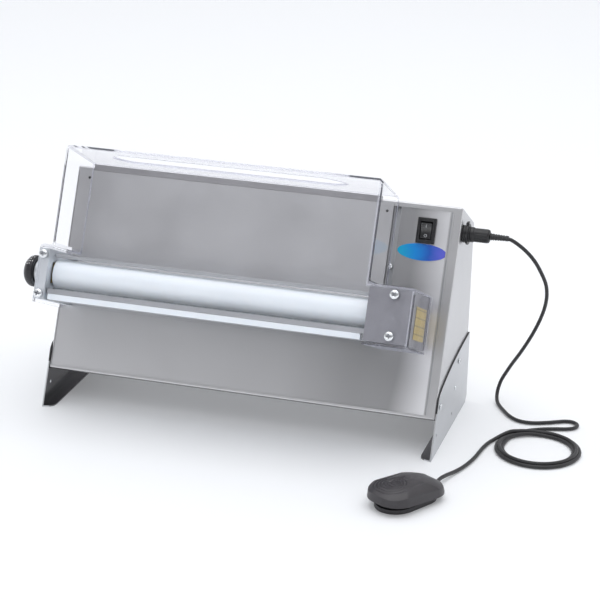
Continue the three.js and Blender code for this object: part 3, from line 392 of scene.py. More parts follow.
def round_edges(bm, width, segments=2, degrees=32, edges=None):
    chosen = sharp_edges(bm, degrees) if edges is None else edges
    bmesh.ops.bevel(bm, geom=chosen, offset=width, segments=segments, profile=0.5,
                    affect="EDGES", clamp_overlap=True)


def shade(bm, degrees=34):
    for face in bm.faces:
        face.smooth = True
    for edge in sharp_edges(bm, degrees):
        edge.smooth = False


def piece(name, bm, place, look, body="machine", stands_for=()):
    """Puts a mesh drawn in a local frame into the CAD's frame as a piece of the object."""
    bmesh.ops.transform(bm, matrix=place, verts=bm.verts)
    bmesh.ops.recalc_face_normals(bm, faces=bm.faces)
    shade(bm)
    mesh = bpy.data.meshes.new(name)
    bm.to_mesh(mesh)
    bm.free()
    made = bpy.data.objects.new(name, mesh)
    SCENE.collection.objects.link(made)
    for material in look if isinstance(look, (list, tuple)) else [look]:
        mesh.materials.append(material)
    normals = made.modifiers.new("normals", "WEIGHTED_NORMAL")
    normals.keep_sharp = True
    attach(made, body)
    if stands_for:
        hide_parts(*stands_for)
    return made


def add_box(bm, x0, x1, y0, y1, z0, z1):
    middle = Vector(((x0 + x1) / 2, (y0 + y1) / 2, (z0 + z1) / 2))
    size = Matrix.Diagonal((x1 - x0, y1 - y0, z1 - z0, 1))
    return bmesh.ops.create_cube(bm, size=1.0, matrix=Matrix.Translation(middle) @ size)["verts"]


def add_prism(bm, points, depth, place=Matrix.Identity(4)):
    """A flat outline of (x, y) points, pushed along +Z by depth, then placed."""
    bottom = [bm.verts.new(place @ Vector((x, y, 0))) for x, y in points]
    top = [bm.verts.new(place @ Vector((x, y, depth))) for x, y in points]
    bm.faces.new(bottom[::-1])
    bm.faces.new(top)
    for i, vert in enumerate(bottom):
        j = (i + 1) % len(bottom)
        bm.faces.new((vert, bottom[j], top[j], top[i]))
    return bottom + top


def add_turned(bm, profile, sides=64, place=Matrix.Identity(4), wave=None):
    """A turned form about local +X: profile is (along, radius) points, closed where it ends on the axis."""
    rings = []
    for along, radius in profile:
        if radius <= 1e-6:
            rings.append([bm.verts.new(place @ Vector((along, 0, 0)))])
            continue
        ring = []
        for i in range(sides):
            angle = 2 * math.pi * i / sides
            r = radius + (wave(along, angle) if wave else 0)
            ring.append(bm.verts.new(place @ Vector((along, r * math.cos(angle), r * math.sin(angle)))))
        rings.append(ring)
    for first, second in zip(rings, rings[1:]):
        for i in range(sides):
            j = (i + 1) % sides
            a = first[i % len(first)]
            b = first[j % len(first)]
            c = second[j % len(second)]
            d = second[i % len(second)]
            corners = [v for k, v in enumerate((a, b, c, d)) if v not in (a, b, c, d)[:k]]
            if len(corners) > 2:
                bm.faces.new(corners)
    return [v for ring in rings for v in ring]


def join_loops(bm, loops):
    """Walls between rings of vertices, each ring closed on itself."""
    for first, second in zip(loops, loops[1:]):
        for i in range(len(first)):
            j = (i + 1) % len(first)
            bm.faces.new((first[i], first[j], second[j], second[i]))


def curve_points(start, control, end, steps):
    """A quadratic curve between two points, without its first point."""
    points = []
    for i in range(1, steps + 1):
        t = i / steps
        points.append(tuple((1 - t) ** 2 * a + 2 * t * (1 - t) * b + t * t * c
                            for a, b, c in zip(start, control, end)))
    return points


def temporary(bm):
    bmesh.ops.recalc_face_normals(bm, faces=bm.faces)
    mesh = bpy.data.meshes.new("temporary")
    bm.to_mesh(mesh)
    bm.free()
    made = bpy.data.objects.new("temporary", mesh)
    SCENE.collection.objects.link(made)
    return made


def carved(solid, tools, wall=0):
    """A solid mesh, hollowed to a wall if one is given, with each tool mesh cut out of it."""
    body = temporary(solid)
    if wall:
        shell = body.modifiers.new("wall", "SOLIDIFY")
        shell.thickness = wall
        shell.offset = -1
        shell.use_even_offset = True
    cutters = [temporary(tool) for tool in tools]
    for cutter in cutters:
        cut = body.modifiers.new("cut", "BOOLEAN")
        cut.operation = "DIFFERENCE"
        cut.solver = "EXACT"
        cut.object = cutter
    ready = body.evaluated_get(bpy.context.evaluated_depsgraph_get())
    result = bmesh.new()
    result.from_mesh(ready.to_mesh())
    ready.to_mesh_clear()
    for leftover in (body, *cutters):
        bpy.data.objects.remove(leftover)
    return result


def box_tool(x0, x1, y0, y1, z0, z1):
    bm = bmesh.new()
    add_box(bm, x0, x1, y0, y1, z0, z1)
    return bm


def turned_tool(profile, sides, place):
    bm = bmesh.new()
    add_turned(bm, profile, sides, place)
    return bm


def dress(node, look, width=0.3, degrees=40):
    """A carried-over CAD node: its material, welded corners and a small rounding on its edges."""
    made = NODES[node]
    made.data.materials.clear()
    made.data.materials.append(look)
    made.data.polygons.foreach_set("material_index", [0] * len(made.data.polygons))
    made.data.polygons.foreach_set("use_smooth", [True] * len(made.data.polygons))
    weld = made.modifiers.new("weld", "WELD")
    weld.merge_threshold = 0.000005
    flat = made.modifiers.new("flat", "DECIMATE")
    flat.decimate_type = "DISSOLVE"
    flat.angle_limit = math.radians(0.6)
    edges = made.modifiers.new("edges", "BEVEL")
    edges.width = width * MM
    edges.segments = 2
    edges.limit_method = "ANGLE"
    edges.angle_limit = math.radians(degrees)
    normals = made.modifiers.new("normals", "WEIGHTED_NORMAL")
    normals.keep_sharp = True


# -------- lead
CORD_RADIUS = 2.8
COIL_CENTRE = (742, 63)
# Down from the plug, then along the table with the lead's middle 3.2 above it, to the coil.
UPPER_LEAD = [
    (668.9, 137, 295), (673.4, 137.4, 293.2), (681, 139.6, 288), (690, 142.2, 280.5), (699.2, 145, 271),
    (707, 148, 260.4), (713, 151.2, 249.3), (718, 155.2, 237.8), (721.8, 160, 226), (723.4, 165.3, 213.4),
    (723.2, 170.6, 200), (721.2, 175.7, 186), (717.4, 181.3, 171), (711, 188, 152.2), (702, 196, 130.4),
    (692.2, 204.4, 109.8), (681.6, 213, 89.4), (669.6, 222.6, 68), (659.6, 229, 49), (652.6, 231.4, 34.4),
    (649, 229.4, 21.6), (648.6, 223, 11.8), (651.4, 213.6, 5.4), (658, 202, 3.2), (667.4, 186.6, 3.2),
    (676.2, 173.6, 3.2), (684.6, 164.4, 3.2), (693, 158.4, 3.2), (704, 155.2, 3.2), (718.6, 156.6, 3.2),
    (736, 163.6, 3.2), (751, 172.2, 3.2), (764, 178.8, 3.2), (775, 178.6, 3.2), (782.6, 170.2, 3.2),
    (780.2, 158.6, 3.2), (770, 151, 3.2), (757, 146.6, 3.2), (743, 141.6, 3.2), (729.6, 135, 3.2),
]
# From the coil to the tail of the pedal.
LOWER_LEAD = [
    (677.4, 84, 3.2), (672.4, 73, 3.2), (668, 60, 3.2), (664.8, 44, 3.2), (662.6, 26, 3.2), (660.6, 8, 3.2),
    (657, -11, 3.2), (651.4, -32, 3.4), (645.4, -49.6, 4.2), (639.4, -65, 5.8), (634.8, -79, 7.8),
    (631.6, -92, 9.2), (627.4, -112.8, 9.8),
]


def coil_turns():
    """Three turns: one outside, one inside it, and one on top of them that leaves over the first.

    stops are (angle, radius, height).
    """
    stops = [
        (118, 66.4, 3.2), (140, 61.0, 3.2), (175, 60.6, 3.2), (440, 60.6, 3.2), (500, 56.0, 3.2),
        (530, 51.6, 3.2), (800, 51.6, 3.2), (850, 53.5, 5.2), (885, 56.1, 6.6), (1180, 56.1, 6.6),
        (1206, 58.4, 8.2), (1224, 61.4, 9.0), (1238, 66.0, 6.4),
    ]
    points = []
    for (a0, r0, z0), (a1, r1, z1) in zip(stops, stops[1:]):
        steps = max(1, round((a1 - a0) / 15))
        for i in range(steps):
            t = i / steps
            ease = t * t * (3 - 2 * t)
            angle = math.radians(a0 + (a1 - a0) * t)
            radius = r0 + (r1 - r0) * ease
            x, y = COIL_CENTRE
            points.append((x + radius * math.cos(angle), y + radius * math.sin(angle), z0 + (z1 - z0) * ease))
    return points


def lead_route():
    inside_plug = [(618, 137, 296), (634, 137, 296), (652, 137, 296)]
    into_pedal = [(625.2, -116.6, 9.8)]
    return inside_plug + UPPER_LEAD + coil_turns() + LOWER_LEAD[1:] + into_pedal


def make_lead():
    curve = bpy.data.curves.new("pedal_lead", "CURVE")
    curve.dimensions = "3D"
    curve.bevel_depth = CORD_RADIUS * MM
    curve.bevel_resolution = 5
    curve.resolution_u = 6
    curve.use_fill_caps = True
    route = [MACHINE @ Vector(point) for point in lead_route()]
    spline = curve.splines.new("BEZIER")
    spline.bezier_points.add(len(route) - 1)
    for i, (knot, point) in enumerate(zip(spline.bezier_points, route)):
        before = route[max(i - 1, 0)]
        after = route[min(i + 1, len(route) - 1)]
        heading = (after - before).normalized()
        knot.co = point
        knot.handle_left_type = knot.handle_right_type = "FREE"
        knot.handle_left = point - heading * (point - before).length / 3
        knot.handle_right = point + heading * (after - point).length / 3
    made = bpy.data.objects.new("pedal_lead", curve)
    SCENE.collection.objects.link(made)
    curve.materials.append(CORD_SHEATH)
    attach(made, "machine")
    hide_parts("cord_upper", "cord_coil", "cord_lower")
    return made


# -------- plug, boot and socket
SOCKET = Matrix.Translation((CASE_WIDTH, 137, 296))


def make_socket():
    bm = bmesh.new()
    profile = [(-12, 0), (-12, 9.6), (-2.6, 9.6), (-2.5, 10.1), (0.3, 10.1), (0.35, 12.4), (0.9, 12.95),
               (4.9, 12.95), (5.4, 12.4), (5.45, 15.0), (5.9, 15.5), (8.3, 15.5), (8.8, 15.0), (8.85, 11.7),
               (10.6, 11.7), (11, 11.2), (11, 8.3), (10.6, 8.0), (2.2, 8.0), (2.2, 0)]
    add_turned(bm, profile, 72, SOCKET)
    latch = [(14.2, -1.4), (17.6, -1.6), (18.6, 0), (18.6, 2.6), (14.2, 2.6)]
    to_latch = Matrix(((0, 1, 0, 5.8), (0, 0, 1, -3.6), (1, 0, 0, 0), (0, 0, 0, 1)))
    add_prism(bm, latch, 7.2, SOCKET @ to_latch)
    piece("pedal_socket_look", bm, MACHINE, BLACK, stands_for=["pedal_socket"])


def make_plug():
    """The plug with its ribbed grip, and the ringed boot that the lead comes out of."""
    def grip(along, angle):
        return -0.45 * max(0.0, math.cos(angle * 12)) if 18.5 < along < 36.2 else 0.0

    bm = bmesh.new()
    profile = [(2.5, 0), (2.5, 7.0), (2.8, 7.35), (11.3, 7.35), (11.35, 10.8), (11.7, 11.15),
               (15.6, 11.15), (16.2, 10.7), (17.2, 10.2), (18.4, 10.25), (19.4, 10.25), (27, 10.25),
               (35.6, 10.25), (36.6, 10.2), (37.4, 10.0), (38.6, 9.5), (39.6, 8.2), (40.1, 6.6), (40.2, 0)]
    add_turned(bm, profile, 144, SOCKET, grip)
    plug = piece("pedal_plug_look", bm, MACHINE, BLACK, stands_for=["pedal_plug"])
    bm = bmesh.new()
    profile = [(40.5, 0), (40.5, 4.4), (41, 5.15)]
    for i in range(6):
        start = 42.4 + i * 3.7
        radius = 5.05 - i * 0.17
        profile += [(start, radius), (start + 0.35, radius - 0.55), (start + 1.45, radius - 0.55),
                    (start + 1.8, radius - 0.05)]
    profile += [(66.6, 3.95), (67.4, 3.6), (67.45, 0)]
    add_turned(bm, profile, 48, SOCKET)
    boot = piece("plug_boot_look", bm, MACHINE, BOOT_RUBBER, stands_for=["plug_boot"])
    return plug, boot


# -------- case
BRACKET_SCREWS = [(141.5, 94), (22.5, 68)]


def on_slope(s, n):
    """A point s up the slope and n in front of it, as the machine's (y, z)."""
    return (s * math.sin(TILT) - n * math.cos(TILT), PANEL_FOOT + s * math.cos(TILT) + n * math.sin(TILT))


def make_case():
    """The bent outer sheet: rounded folds, an open front frame, and its rear, bottom and socket openings.

    The faces under its front edge take the darker stainless: painted shade.
    """
    outline = [(0, 55), (14, 48), (CASE_DEPTH, 48), (CASE_DEPTH, 289), on_slope(311, 0)]
    bm = bmesh.new()
    add_prism(bm, outline, CASE_WIDTH, push_along_x(0))
    round_edges(bm, 2.6, 4)
    front = box_tool(2.1, 585, -6, 6, 5.1, 303)
    bmesh.ops.transform(front, matrix=MACHINE.inverted() @ PANEL, verts=front.verts)
    rear = box_tool(16, 584, 210, 222, 64, 273)
    bottom = box_tool(16, 584, 28, 202.5, 42, 54)
    socket_hole = turned_tool([(-4, 0), (-4, 10.6), (4, 10.6), (4, 0)], 48, SOCKET)
    shell = carved(bm, [front, rear, bottom, socket_hole], SHEET)
    shell.normal_update()
    # Painted shade on the faces that turn down under the front edge.
    for face in shell.faces:
        if face.normal.z < -0.3 and face.calc_center_median().y < 20:
            face.material_index = 1
    piece("case_shell", shell, MACHINE, [STAINLESS, SHADED_STAINLESS], stands_for=["body_shell"])


def make_front_trim():
    """The ribs inside the right rim with a darker strip between them, painted shade in their groove; the
    guard's guide slot with its pin, and the feed panel's screws.
    """
    # The darker middle strip is painted shade in the groove between the ribs.
    ribs = [("panel_rib", 582.5, 584.6, -0.4, STAINLESS), ("rim_groove_painted_shade", 584.7, 586.5, -0.08, RAIL_ALLOY),
            ("rim_rib", 586.6, 588.5, -0.5, STAINLESS)]
    for name, left, right, front, look in ribs:
        bm = bmesh.new()
        add_box(bm, left, right, front, 1.6, 5.4, 302.6)
        round_edges(bm, 0.35, 2)
        piece(name, bm, PANEL, look)
    bm = bmesh.new()
    left, right = 496.2, 509.4
    walls = [(left, left + 2.2, 3.6, 14), (right - 1.2, right, 3.6, 14), (left, right, 14, 15.2)]
    for x0, x1, front, back in walls:
        add_box(bm, x0, x1, front, back, 185, 303)
    piece("guide_channel", bm, PANEL, FOOT_STAINLESS)
    bm = bmesh.new()
    add_turned(bm, [(-2, 0), (-2, 2.6), (4, 2.6), (5.2, 4.2), (7.6, 4.2), (8.8, 3.0), (9.2, 0)], 32,
               Matrix.Translation((502.4, 7.5, 214)) @ OUT_OF_PANEL)
    piece("guide_pin", bm, PANEL, ZINC)
    # The feed panel's screw heads take the near-black shadowed-recess look: painted shade.
    for i, x in enumerate((21, 487)):
        bm = bmesh.new()
        add_turned(bm, [(-0.2, 0), (-0.2, 2.1), (0.7, 2.0), (1.0, 1.2), (1.05, 0)], 24,
                   Matrix.Translation((x, -1.0, 294)) @ OUT_OF_PANEL)
        piece(f"feed_panel_screw_{i + 1}", bm, PANEL, DARK_GAP)


# -------- guard
GUARD_SCREWS = [(13.4, 163), (13.4, 104.5), (542.5, 166), (542.5, 107)]


def guard_block(outline, front, fold, roof_front, roof_slope):
    """A solid from the front face back through the panel, its roof falling to the back, folds rounded."""
    bm = bmesh.new()
    reach = 60 - front
    add_prism(bm, outline, reach, push_along_y(front))
    for vert in bm.verts:
        if vert.co.z > 300:
            vert.co.z = roof_front - roof_slope * (vert.co.y - front)
    bm.normal_update()
    folds = [e for e in sharp_edges(bm, 32) if min(v.co.y for v in e.verts) < front + 1
             and max(v.co.z for v in e.verts) > 96]
    round_edges(bm, fold, 5, edges=folds)
    return bm


def mark_guard_faces(bm):
    """Flat sheet keeps the first material, folds take the second and sawn edges the third."""
    bm.normal_update()
    for face in bm.faces:
        middle, normal = face.calc_center_median(), face.normal
        behind = normal.y > 0.9 and middle.y > -3
        below = normal.z < -0.9 and middle.z < 92.5
        in_roof = middle.z > 312 and -90 < middle.y < -30 and 70 < middle.x < 450
        if behind or below or (in_roof and abs(normal.z) < 0.3):
            face.material_index = 2
        elif max(abs(part) for part in normal) < 0.985:
            face.material_index = 1


def make_guard():
    """One clear sheet bent into a tall hood over the rollers, with a low box out to the right and an ear."""
    sheet, left, right, shoulder, low_left, low_right, bottom = 3, 24, 504, 178.4, 5, 571.1, 92
    top = 330
    outer = [(low_left, 60), (low_right, 60), (low_right, shoulder), (right, shoulder), (right, top),
             (left, top), (left, shoulder), (low_left, shoulder)]
    inner = [(low_left + sheet, 40), (right, 40), (right, bottom + sheet),
             (low_right - sheet, bottom + sheet), (low_right - sheet, shoulder - sheet),
             (right - sheet, shoulder - sheet), (right - sheet, top), (left + sheet, top),
             (left + sheet, shoulder - sheet), (low_left + sheet, shoulder - sheet)]
    slope = 9 / 117.9
    slot = [(102, -38), (414, -38)]
    for control, end in (((432, -44), (440, -58)), ((428, -76), (406, -84))):
        slot += curve_points(slot[-1], control, end, 8)
    slot.append((96, -84))
    for control, end in (((84, -76), (77, -62)), ((86, -46), (102, -38))):
        slot += curve_points(slot[-1], control, end, 8)
    slot_tool = bmesh.new()
    add_prism(slot_tool, slot[:-1], 40, Matrix.Translation((0, 0, 300)))
    tools = [guard_block(inner, -117.0, 3.0, 324.5 - slope * sheet, slope), slot_tool,
             box_tool(-20, right + 0.02, -2.1, 90, 30, 400), box_tool(right - 1, 600, 1.4, 91, 29, 401),
             box_tool(-22, 620, -130, 92, 28, bottom)]
    for x, s in GUARD_SCREWS:
        place = Matrix.Translation((x, -118.5, s)) @ Matrix.Rotation(math.pi / 2, 4, "Z")
        tools.append(turned_tool([(-6, 0), (-6, 3), (6, 3), (6, 0)], 32, place))
    shell = carved(guard_block(outer, -120.0, 5.5, 327.5, slope), tools)
    mark_guard_faces(shell)
    piece("clear_guard", shell, PANEL, GUARD_LOOKS, stands_for=["guard"])
    bm = bmesh.new()
    ear = [(571.4, 92), (583, 92), (583, 157.4), (573, 176.4), (571.4, 176.4)]
    add_prism(bm, ear, 3, push_along_y(-1.6))
    round_edges(bm, 0.6, 2)
    piece("guard_ear", bm, PANEL, CLEAR)


# -------- screws
def pan_screw(name, place, head, height, shank, length, node):
    """A pan-head screw with a cross recess, painted grey inside as shade. Local +X points out of its head;
    its seat is at X = 0.
    """
    bm = bmesh.new()
    profile = [(-length, 0), (-length, shank * 0.7), (-length + 1, shank), (-0.3, shank),
               (-0.05, shank + 0.3), (0, head - 0.25), (0.25, head), (height * 0.35, head)]
    for i in range(1, 8):
        angle = i / 8 * math.pi / 2
        profile.append((height * (0.35 + 0.65 * math.sin(angle)), head * (0.12 + 0.88 * math.cos(angle))))
    profile.append((height, 0))
    add_turned(bm, profile, 40)
    arm, thick, deep = head * 0.6, head * 0.17, height * 0.66
    slots = []
    for half_y, half_z in ((arm, thick), (thick, arm)):
        slot = bmesh.new()
        for vert in add_box(slot, height - deep, height + 1, -half_y, half_y, -half_z, half_z):
            if vert.co.x < height:
                vert.co.y *= 0.7
                vert.co.z *= 0.7
        slots.append(slot)
    screw = carved(bm, slots)
    for face in screw.faces:
        # Painted shade: the faces inside the cross recess take a flat grey.
        middle = face.calc_center_median()
        inside = math.hypot(middle.y, middle.z) < arm and 0.2 < middle.x < height * 0.85
        face.material_index = 1 if inside else 0
    piece(name, screw, place, [ZINC, RECESS_PAINTED_SHADE], stands_for=[node])


def make_screws():
    for i, (x, s) in enumerate(GUARD_SCREWS):
        place = PANEL @ Matrix.Translation((x, -120.2, s)) @ OUT_OF_PANEL @ Matrix.Rotation(0.35 + i, 4, "X")
        pan_screw(f"guard_screw_{i + 1}_look", place, 6.9, 4.2, 2.5, 12, f"guard_screw_{i + 1}")
    for side, turn, x in (("left", math.pi, -2.6), ("right", 0, CASE_WIDTH + 2.6)):
        for i, (y, z) in enumerate(BRACKET_SCREWS):
            place = MACHINE @ Matrix.Translation((x, y, z)) @ Matrix.Rotation(turn, 4, "Z")
            place = place @ Matrix.Rotation(0.6 + 2 * i, 4, "X")
            node = f"{side}_bracket_screw_{i + 1}"
            pan_screw(f"{node}_look", place, 4.5, 2.4, 2.2, 7.5, node)


def make_bracket_details():
    """On each foot plate: a rivet in its middle hole, and a dark strip along the sloping top edge, painted
    shadow of the gap between the plate and the case wall.
    """
    for side, turn, x in (("left", math.pi, -0.1), ("right", 0, CASE_WIDTH + 0.1)):
        bm = bmesh.new()
        rivet = [(0, 0), (0, 2.4), (2.3, 2.4), (2.35, 3.5), (2.9, 3.3), (3.4, 2.4), (3.6, 1.0), (3.62, 0)]
        place = Matrix.Translation((x, 124, 57)) @ Matrix.Rotation(turn, 4, "Z")
        add_turned(bm, rivet, 28, place)
        piece(f"{side}_bracket_rivet", bm, MACHINE, ZINC)
        # The dark strip is painted shadow along the gap above the plate.
        edge = [(216, 112.2)] + curve_points((216, 112.2), (90, 108.2), (24, 89.2), 20)
        edge += curve_points(edge[-1], (13, 86.7), (9.2, 76), 8) + [(4, 63.5)]
        outer = [(y - 0.3, z + 0.85) for y, z in edge]
        bm = bmesh.new()
        low = min(x + 0.2 * math.cos(turn), x + 2.2 * math.cos(turn))
        add_prism(bm, edge + outer[::-1], 2.0, push_along_x(low))
        piece(f"{side}_bracket_gap_shadow", bm, MACHINE, BOOT_RUBBER)


# -------- rollers and knob
ROLLER_HEIGHT = 138.5


def make_rollers():
    """Two plastic sleeves on their shafts, each with rounded ends and an open bore."""
    for name, n, body in (("rear_roller", 36, "rear_roller_set"), ("front_roller", 78.6, "front_roller_set")):
        profile = [(0.8, 7.35), (0.4, 8.2), (0.35, 17.2), (0.05, 18.4), (0.0, 19.9), (0.5, 20.7), (1.4, 21.0)]
        mirrored = [(480 - along, radius) for along, radius in reversed(profile)]
        middle = [(1.4 + i * 477.2 / 24, 21.0) for i in range(1, 24)]
        bm = bmesh.new()
        loop = profile + middle + mirrored
        sides = 96
        verts = add_turned(bm, loop, sides, Matrix.Translation((23, -n, ROLLER_HEIGHT)))
        join_loops(bm, [verts[-sides:], verts[:sides]])
        piece(f"{name}_sleeve", bm, PANEL, ROLLER, body, [name])


def make_knob():
    """A domed grip with fine flutes and a scale of plain dots round its rim."""
    axis = Matrix.Translation((0, -80.6, ROLLER_HEIGHT))

    def flutes(along, angle):
        depth = 0.55 * max(0.0, 1 - abs(along + 13.5) / 6.5)
        return -depth * (0.5 + 0.5 * math.cos(angle * 36))

    bm = bmesh.new()
    profile = [(-26, 0), (-25.96, 4), (-25.7, 8), (-25.1, 11.5), (-24.0, 14.6), (-22.6, 17.2), (-20.8, 19.5),
               (-18.8, 21.3), (-16.6, 22.6), (-14.4, 23.3), (-12.2, 23.6), (-10.2, 23.6), (-9, 23.4),
               (-8.2, 22.6), (-8, 21.5), (-8, 0)]
    add_turned(bm, profile, 144, axis, flutes)
    piece("gap_knob_look", bm, PANEL, KNOB_PLASTIC, "knob", ["gap_knob"])
    bm = bmesh.new()
    dot = [(-0.45, 0), (-0.42, 0.7), (0.6, 0.75), (0.65, 0)]
    for i in range(6):
        turn = Matrix.Rotation(math.radians(102 + i * 11), 4, "X")
        for along, radius in ((-10.4, 23.5), (-14.2, 23.2), (-17.8, 21.9))[i % 2:]:
            add_turned(bm, dot, 12, axis @ turn @ Matrix.Translation((along, radius, 0)) @ OUT_OF_PANEL)
    piece("knob_scale_dots", bm, PANEL, WHITE_INK, "knob")


# -------- switch, badge
SWITCH = (549.8, 271.7)


def make_switch():
    place = PANEL @ Matrix.Translation((SWITCH[0], 1.2, SWITCH[1]))
    bm = bmesh.new()
    add_box(bm, -13.9, 13.9, -3.3, 0.2, -18.9, 18.9)
    round_edges(bm, 1.1, 3)
    add_box(bm, -10.8, 10.8, 0.3, 19.9, -14.8, 14.8)
    pocket = box_tool(-8.9, 8.9, -6, 9, -13.3, 13.3)
    round_edges(pocket, 0.6, 2)
    piece("switch_bezel", carved(bm, [pocket]), place, BLACK, stands_for=["switch_body"])
    tilted = place @ Matrix.Rotation(math.radians(9), 4, "X")
    outline = [(2, -11.5), (4.2, 0), (2, 11.5), (-4.1, 11.3)]
    outline += curve_points((-4.1, 11.3), (-1.2, 0), (-4.1, -11.3), 12)
    bm = bmesh.new()
    add_prism(bm, outline, 16, push_along_x(-8))
    round_edges(bm, 0.5, 3, 24)
    piece("switch_rocker_look", bm, tilted, ROCKER_PLASTIC, "rocker", ["switch_rocker"])
    bm = bmesh.new()
    add_box(bm, -0.45, 0.45, -3.75, -3.1, 4.9, 9.1)
    ring = [(1.6 * math.cos(a * math.pi / 12), 1.6 * math.sin(a * math.pi / 12)) for a in range(24)]
    for i in range(24):
        (x0, z0), (x1, z1) = ring[i], ring[(i + 1) % 24]
        quad = [(x0, z0), (x1, z1), (x1 * 1.45, z1 * 1.45), (x0 * 1.45, z0 * 1.45)]
        add_prism(bm, quad, 0.65, push_along_y(-3.62, -7))
    piece("rocker_marks", bm, tilted, GREY_INK, "rocker")


def make_badge():
    """A plain oval with a domed face and a thin raised rim."""
    bm = bmesh.new()
    steps = 72
    rings = [(1.0, -0.1), (1.0, 0.55), (0.975, 0.8), (0.93, 0.62), (0.88, 0.72), (0.7, 0.79), (0.4, 0.8)]
    place = Matrix.Translation((547.3, 1.45, 240))
    loops = []
    for share, out in rings:
        loop = []
        for i in range(steps):
            angle = 2 * math.pi * i / steps
            loop.append(bm.verts.new(place @ Vector((36.5 * share * math.cos(angle), -out,
                                                     12.5 * share * math.sin(angle)))))
        loops.append(loop)
    join_loops(bm, loops)
    bm.faces.new(loops[0])
    bm.faces.new(loops[-1])
    piece("badge_oval", bm, PANEL, BADGE, stands_for=["badge_plate"])


# -------- pedal
def pedal_outline(shrink, steps=8):
    """The pedal's outline: a wide round nose at -Y and a narrower tail at +Y."""
    half, nose, tail = 36 - shrink, -56.5 + shrink, 56.5 - shrink
    points = [(half, nose + 30), (half, tail - 26)]
    points += curve_points(points[-1], (half - 2, tail - 4), (half - 22, tail), steps)
    points.append((-half + 22, tail))
    points += curve_points(points[-1], (-half + 4, tail - 4), (-half, tail - 30), steps)
    points.append((-half, nose + 30))
    points += curve_points(points[-1], (-half + 4, nose + 3), (-half + 28, nose), steps)
    points.append((half - 28, nose))
    points += curve_points(points[-1], (half - 4, nose + 3), (half, nose + 30), steps)
    return points[:-1]


def treadle_rim(y):
    """Height of the treadle's lower edge, which rises from its tail to its nose."""
    return 9 + (40 - y) * 0.055


def treadle_top(x, y):
    """Height of the treadle's domed top, with the ring grooves of its pressing pad."""
    reach = 55.0 if y < -4 else 63.3
    along, across = (y + 4) / reach, x / 40.3
    crown = max(0.0, 1 - along * along * 0.92 - across * across * 0.75)
    height = treadle_rim(y) + 4.5 + 19.5 * math.sqrt(crown)
    pad, grooves, depth = 27, 5.5, 1.2
    away = math.hypot(x + 3, y + 24)
    if away < pad:
        groove = 0.5 + 0.5 * math.cos(away / pad * 2 * math.pi * grooves)
        height -= depth * groove * min(1.0, (pad - away) / 3)
    return height


def make_treadle():
    """A domed cap over a hollow, its skirt and crown in rings, with its two hinge cheeks inside."""
    outline = pedal_outline(0.1)
    bm = bmesh.new()

    def loop(share, height):
        return [bm.verts.new((x * share, y * share, height(x * share, y * share, y))) for x, y in outline]

    skirt = [loop(share, lambda x, y, edge_y: treadle_rim(edge_y) + up)
             for share, up in ((0.93, 0.2), (0.985, 0.05), (1.0, 0.6), (1.0, 3.4), (0.995, 4.4))]
    rings, wall = 44, 1.8
    crown = [loop(0.992 * (1 - (ring / rings) ** 1.25), lambda x, y, edge_y: treadle_top(x, y))
             for ring in range(1, rings)]
    hollow = [loop(share, lambda x, y, edge_y: min(treadle_rim(edge_y) + up, treadle_top(x, y) - wall))
              for share, up in ((0.9, 3.5), (0.86, 8.5), (0.7, 14.5), (0.4, 18.0))]
    join_loops(bm, skirt + crown)
    join_loops(bm, skirt[:1] + hollow)
    bm.faces.new(crown[-1])
    bm.faces.new(hollow[-1])
    piece("treadle_cap", carved(bm, [box_tool(-8, 8, 44, 62, 3, 15)]), PEDAL, PEDAL_PLASTIC,
          "treadle", ["pedal_treadle"])
    bm = bmesh.new()
    for side in (-1, 1):
        add_box(bm, side * 28 - 1.7, side * 28 + 1.7, 36.2, 43.8, 9.8, 16.4)
    round_edges(bm, 0.4, 2)
    piece("treadle_cheeks", bm, PEDAL, PEDAL_PLASTIC, "treadle")


def make_pedal_base():
    outline = pedal_outline(7.1)
    bm = bmesh.new()
    loops = []
    for share, height in ((0.96, 0.0), (0.99, 0.25), (1.0, 1.2), (1.0, 5.2), (0.985, 6.5), (0.95, 6.9)):
        loops.append([bm.verts.new((x * share, y * share, height)) for x, y in outline])
    join_loops(bm, loops)
    bm.faces.new(loops[0][::-1])
    bm.faces.new(loops[-1])
    for side in (-1, 1):
        add_box(bm, side * 20 - 2.4, side * 20 + 2.4, 36.1, 43.9, 6.4, 15.3)
    add_box(bm, -7.9, 7.9, 44.8, 55.8, 0.6, 13.8)
    round_edges(bm, 0.5, 2, 60)
    piece("pedal_base_look", bm, PEDAL, BASE_PLASTIC, stands_for=["pedal_base"])
    curve = bpy.data.curves.new("pedal_spring_look", "CURVE")
    curve.dimensions = "3D"
    curve.bevel_depth = 0.65 * MM
    curve.bevel_resolution = 3
    spline = curve.splines.new("POLY")
    steps, turns = 96, 4
    spline.points.add(steps)
    for i, knot in enumerate(spline.points):
        angle = i / steps * turns * 2 * math.pi
        turn = Vector((5 * math.cos(angle), 5 * math.sin(angle) - 14, 6.2 + 14.7 * i / steps))
        knot.co = (*(PEDAL @ turn), 1)
    spring = bpy.data.objects.new("pedal_spring_look", curve)
    SCENE.collection.objects.link(spring)
    curve.materials.append(STEEL)
    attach(spring, "machine")
    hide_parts("pedal_spring")


# -------- carried-over CAD nodes
def shade_inner_faces(mesh, inward):
    """The darker stainless goes on a foot's inward faces and on top of the flange that it stands on: painted
    shade under the machine.
    """
    mesh.materials.append(SHADED_STAINLESS)
    for polygon in mesh.polygons:
        if polygon.normal.x * inward > 0.5 or (polygon.normal.z > 0.5 and polygon.center.z < 0.01):
            polygon.material_index = 1


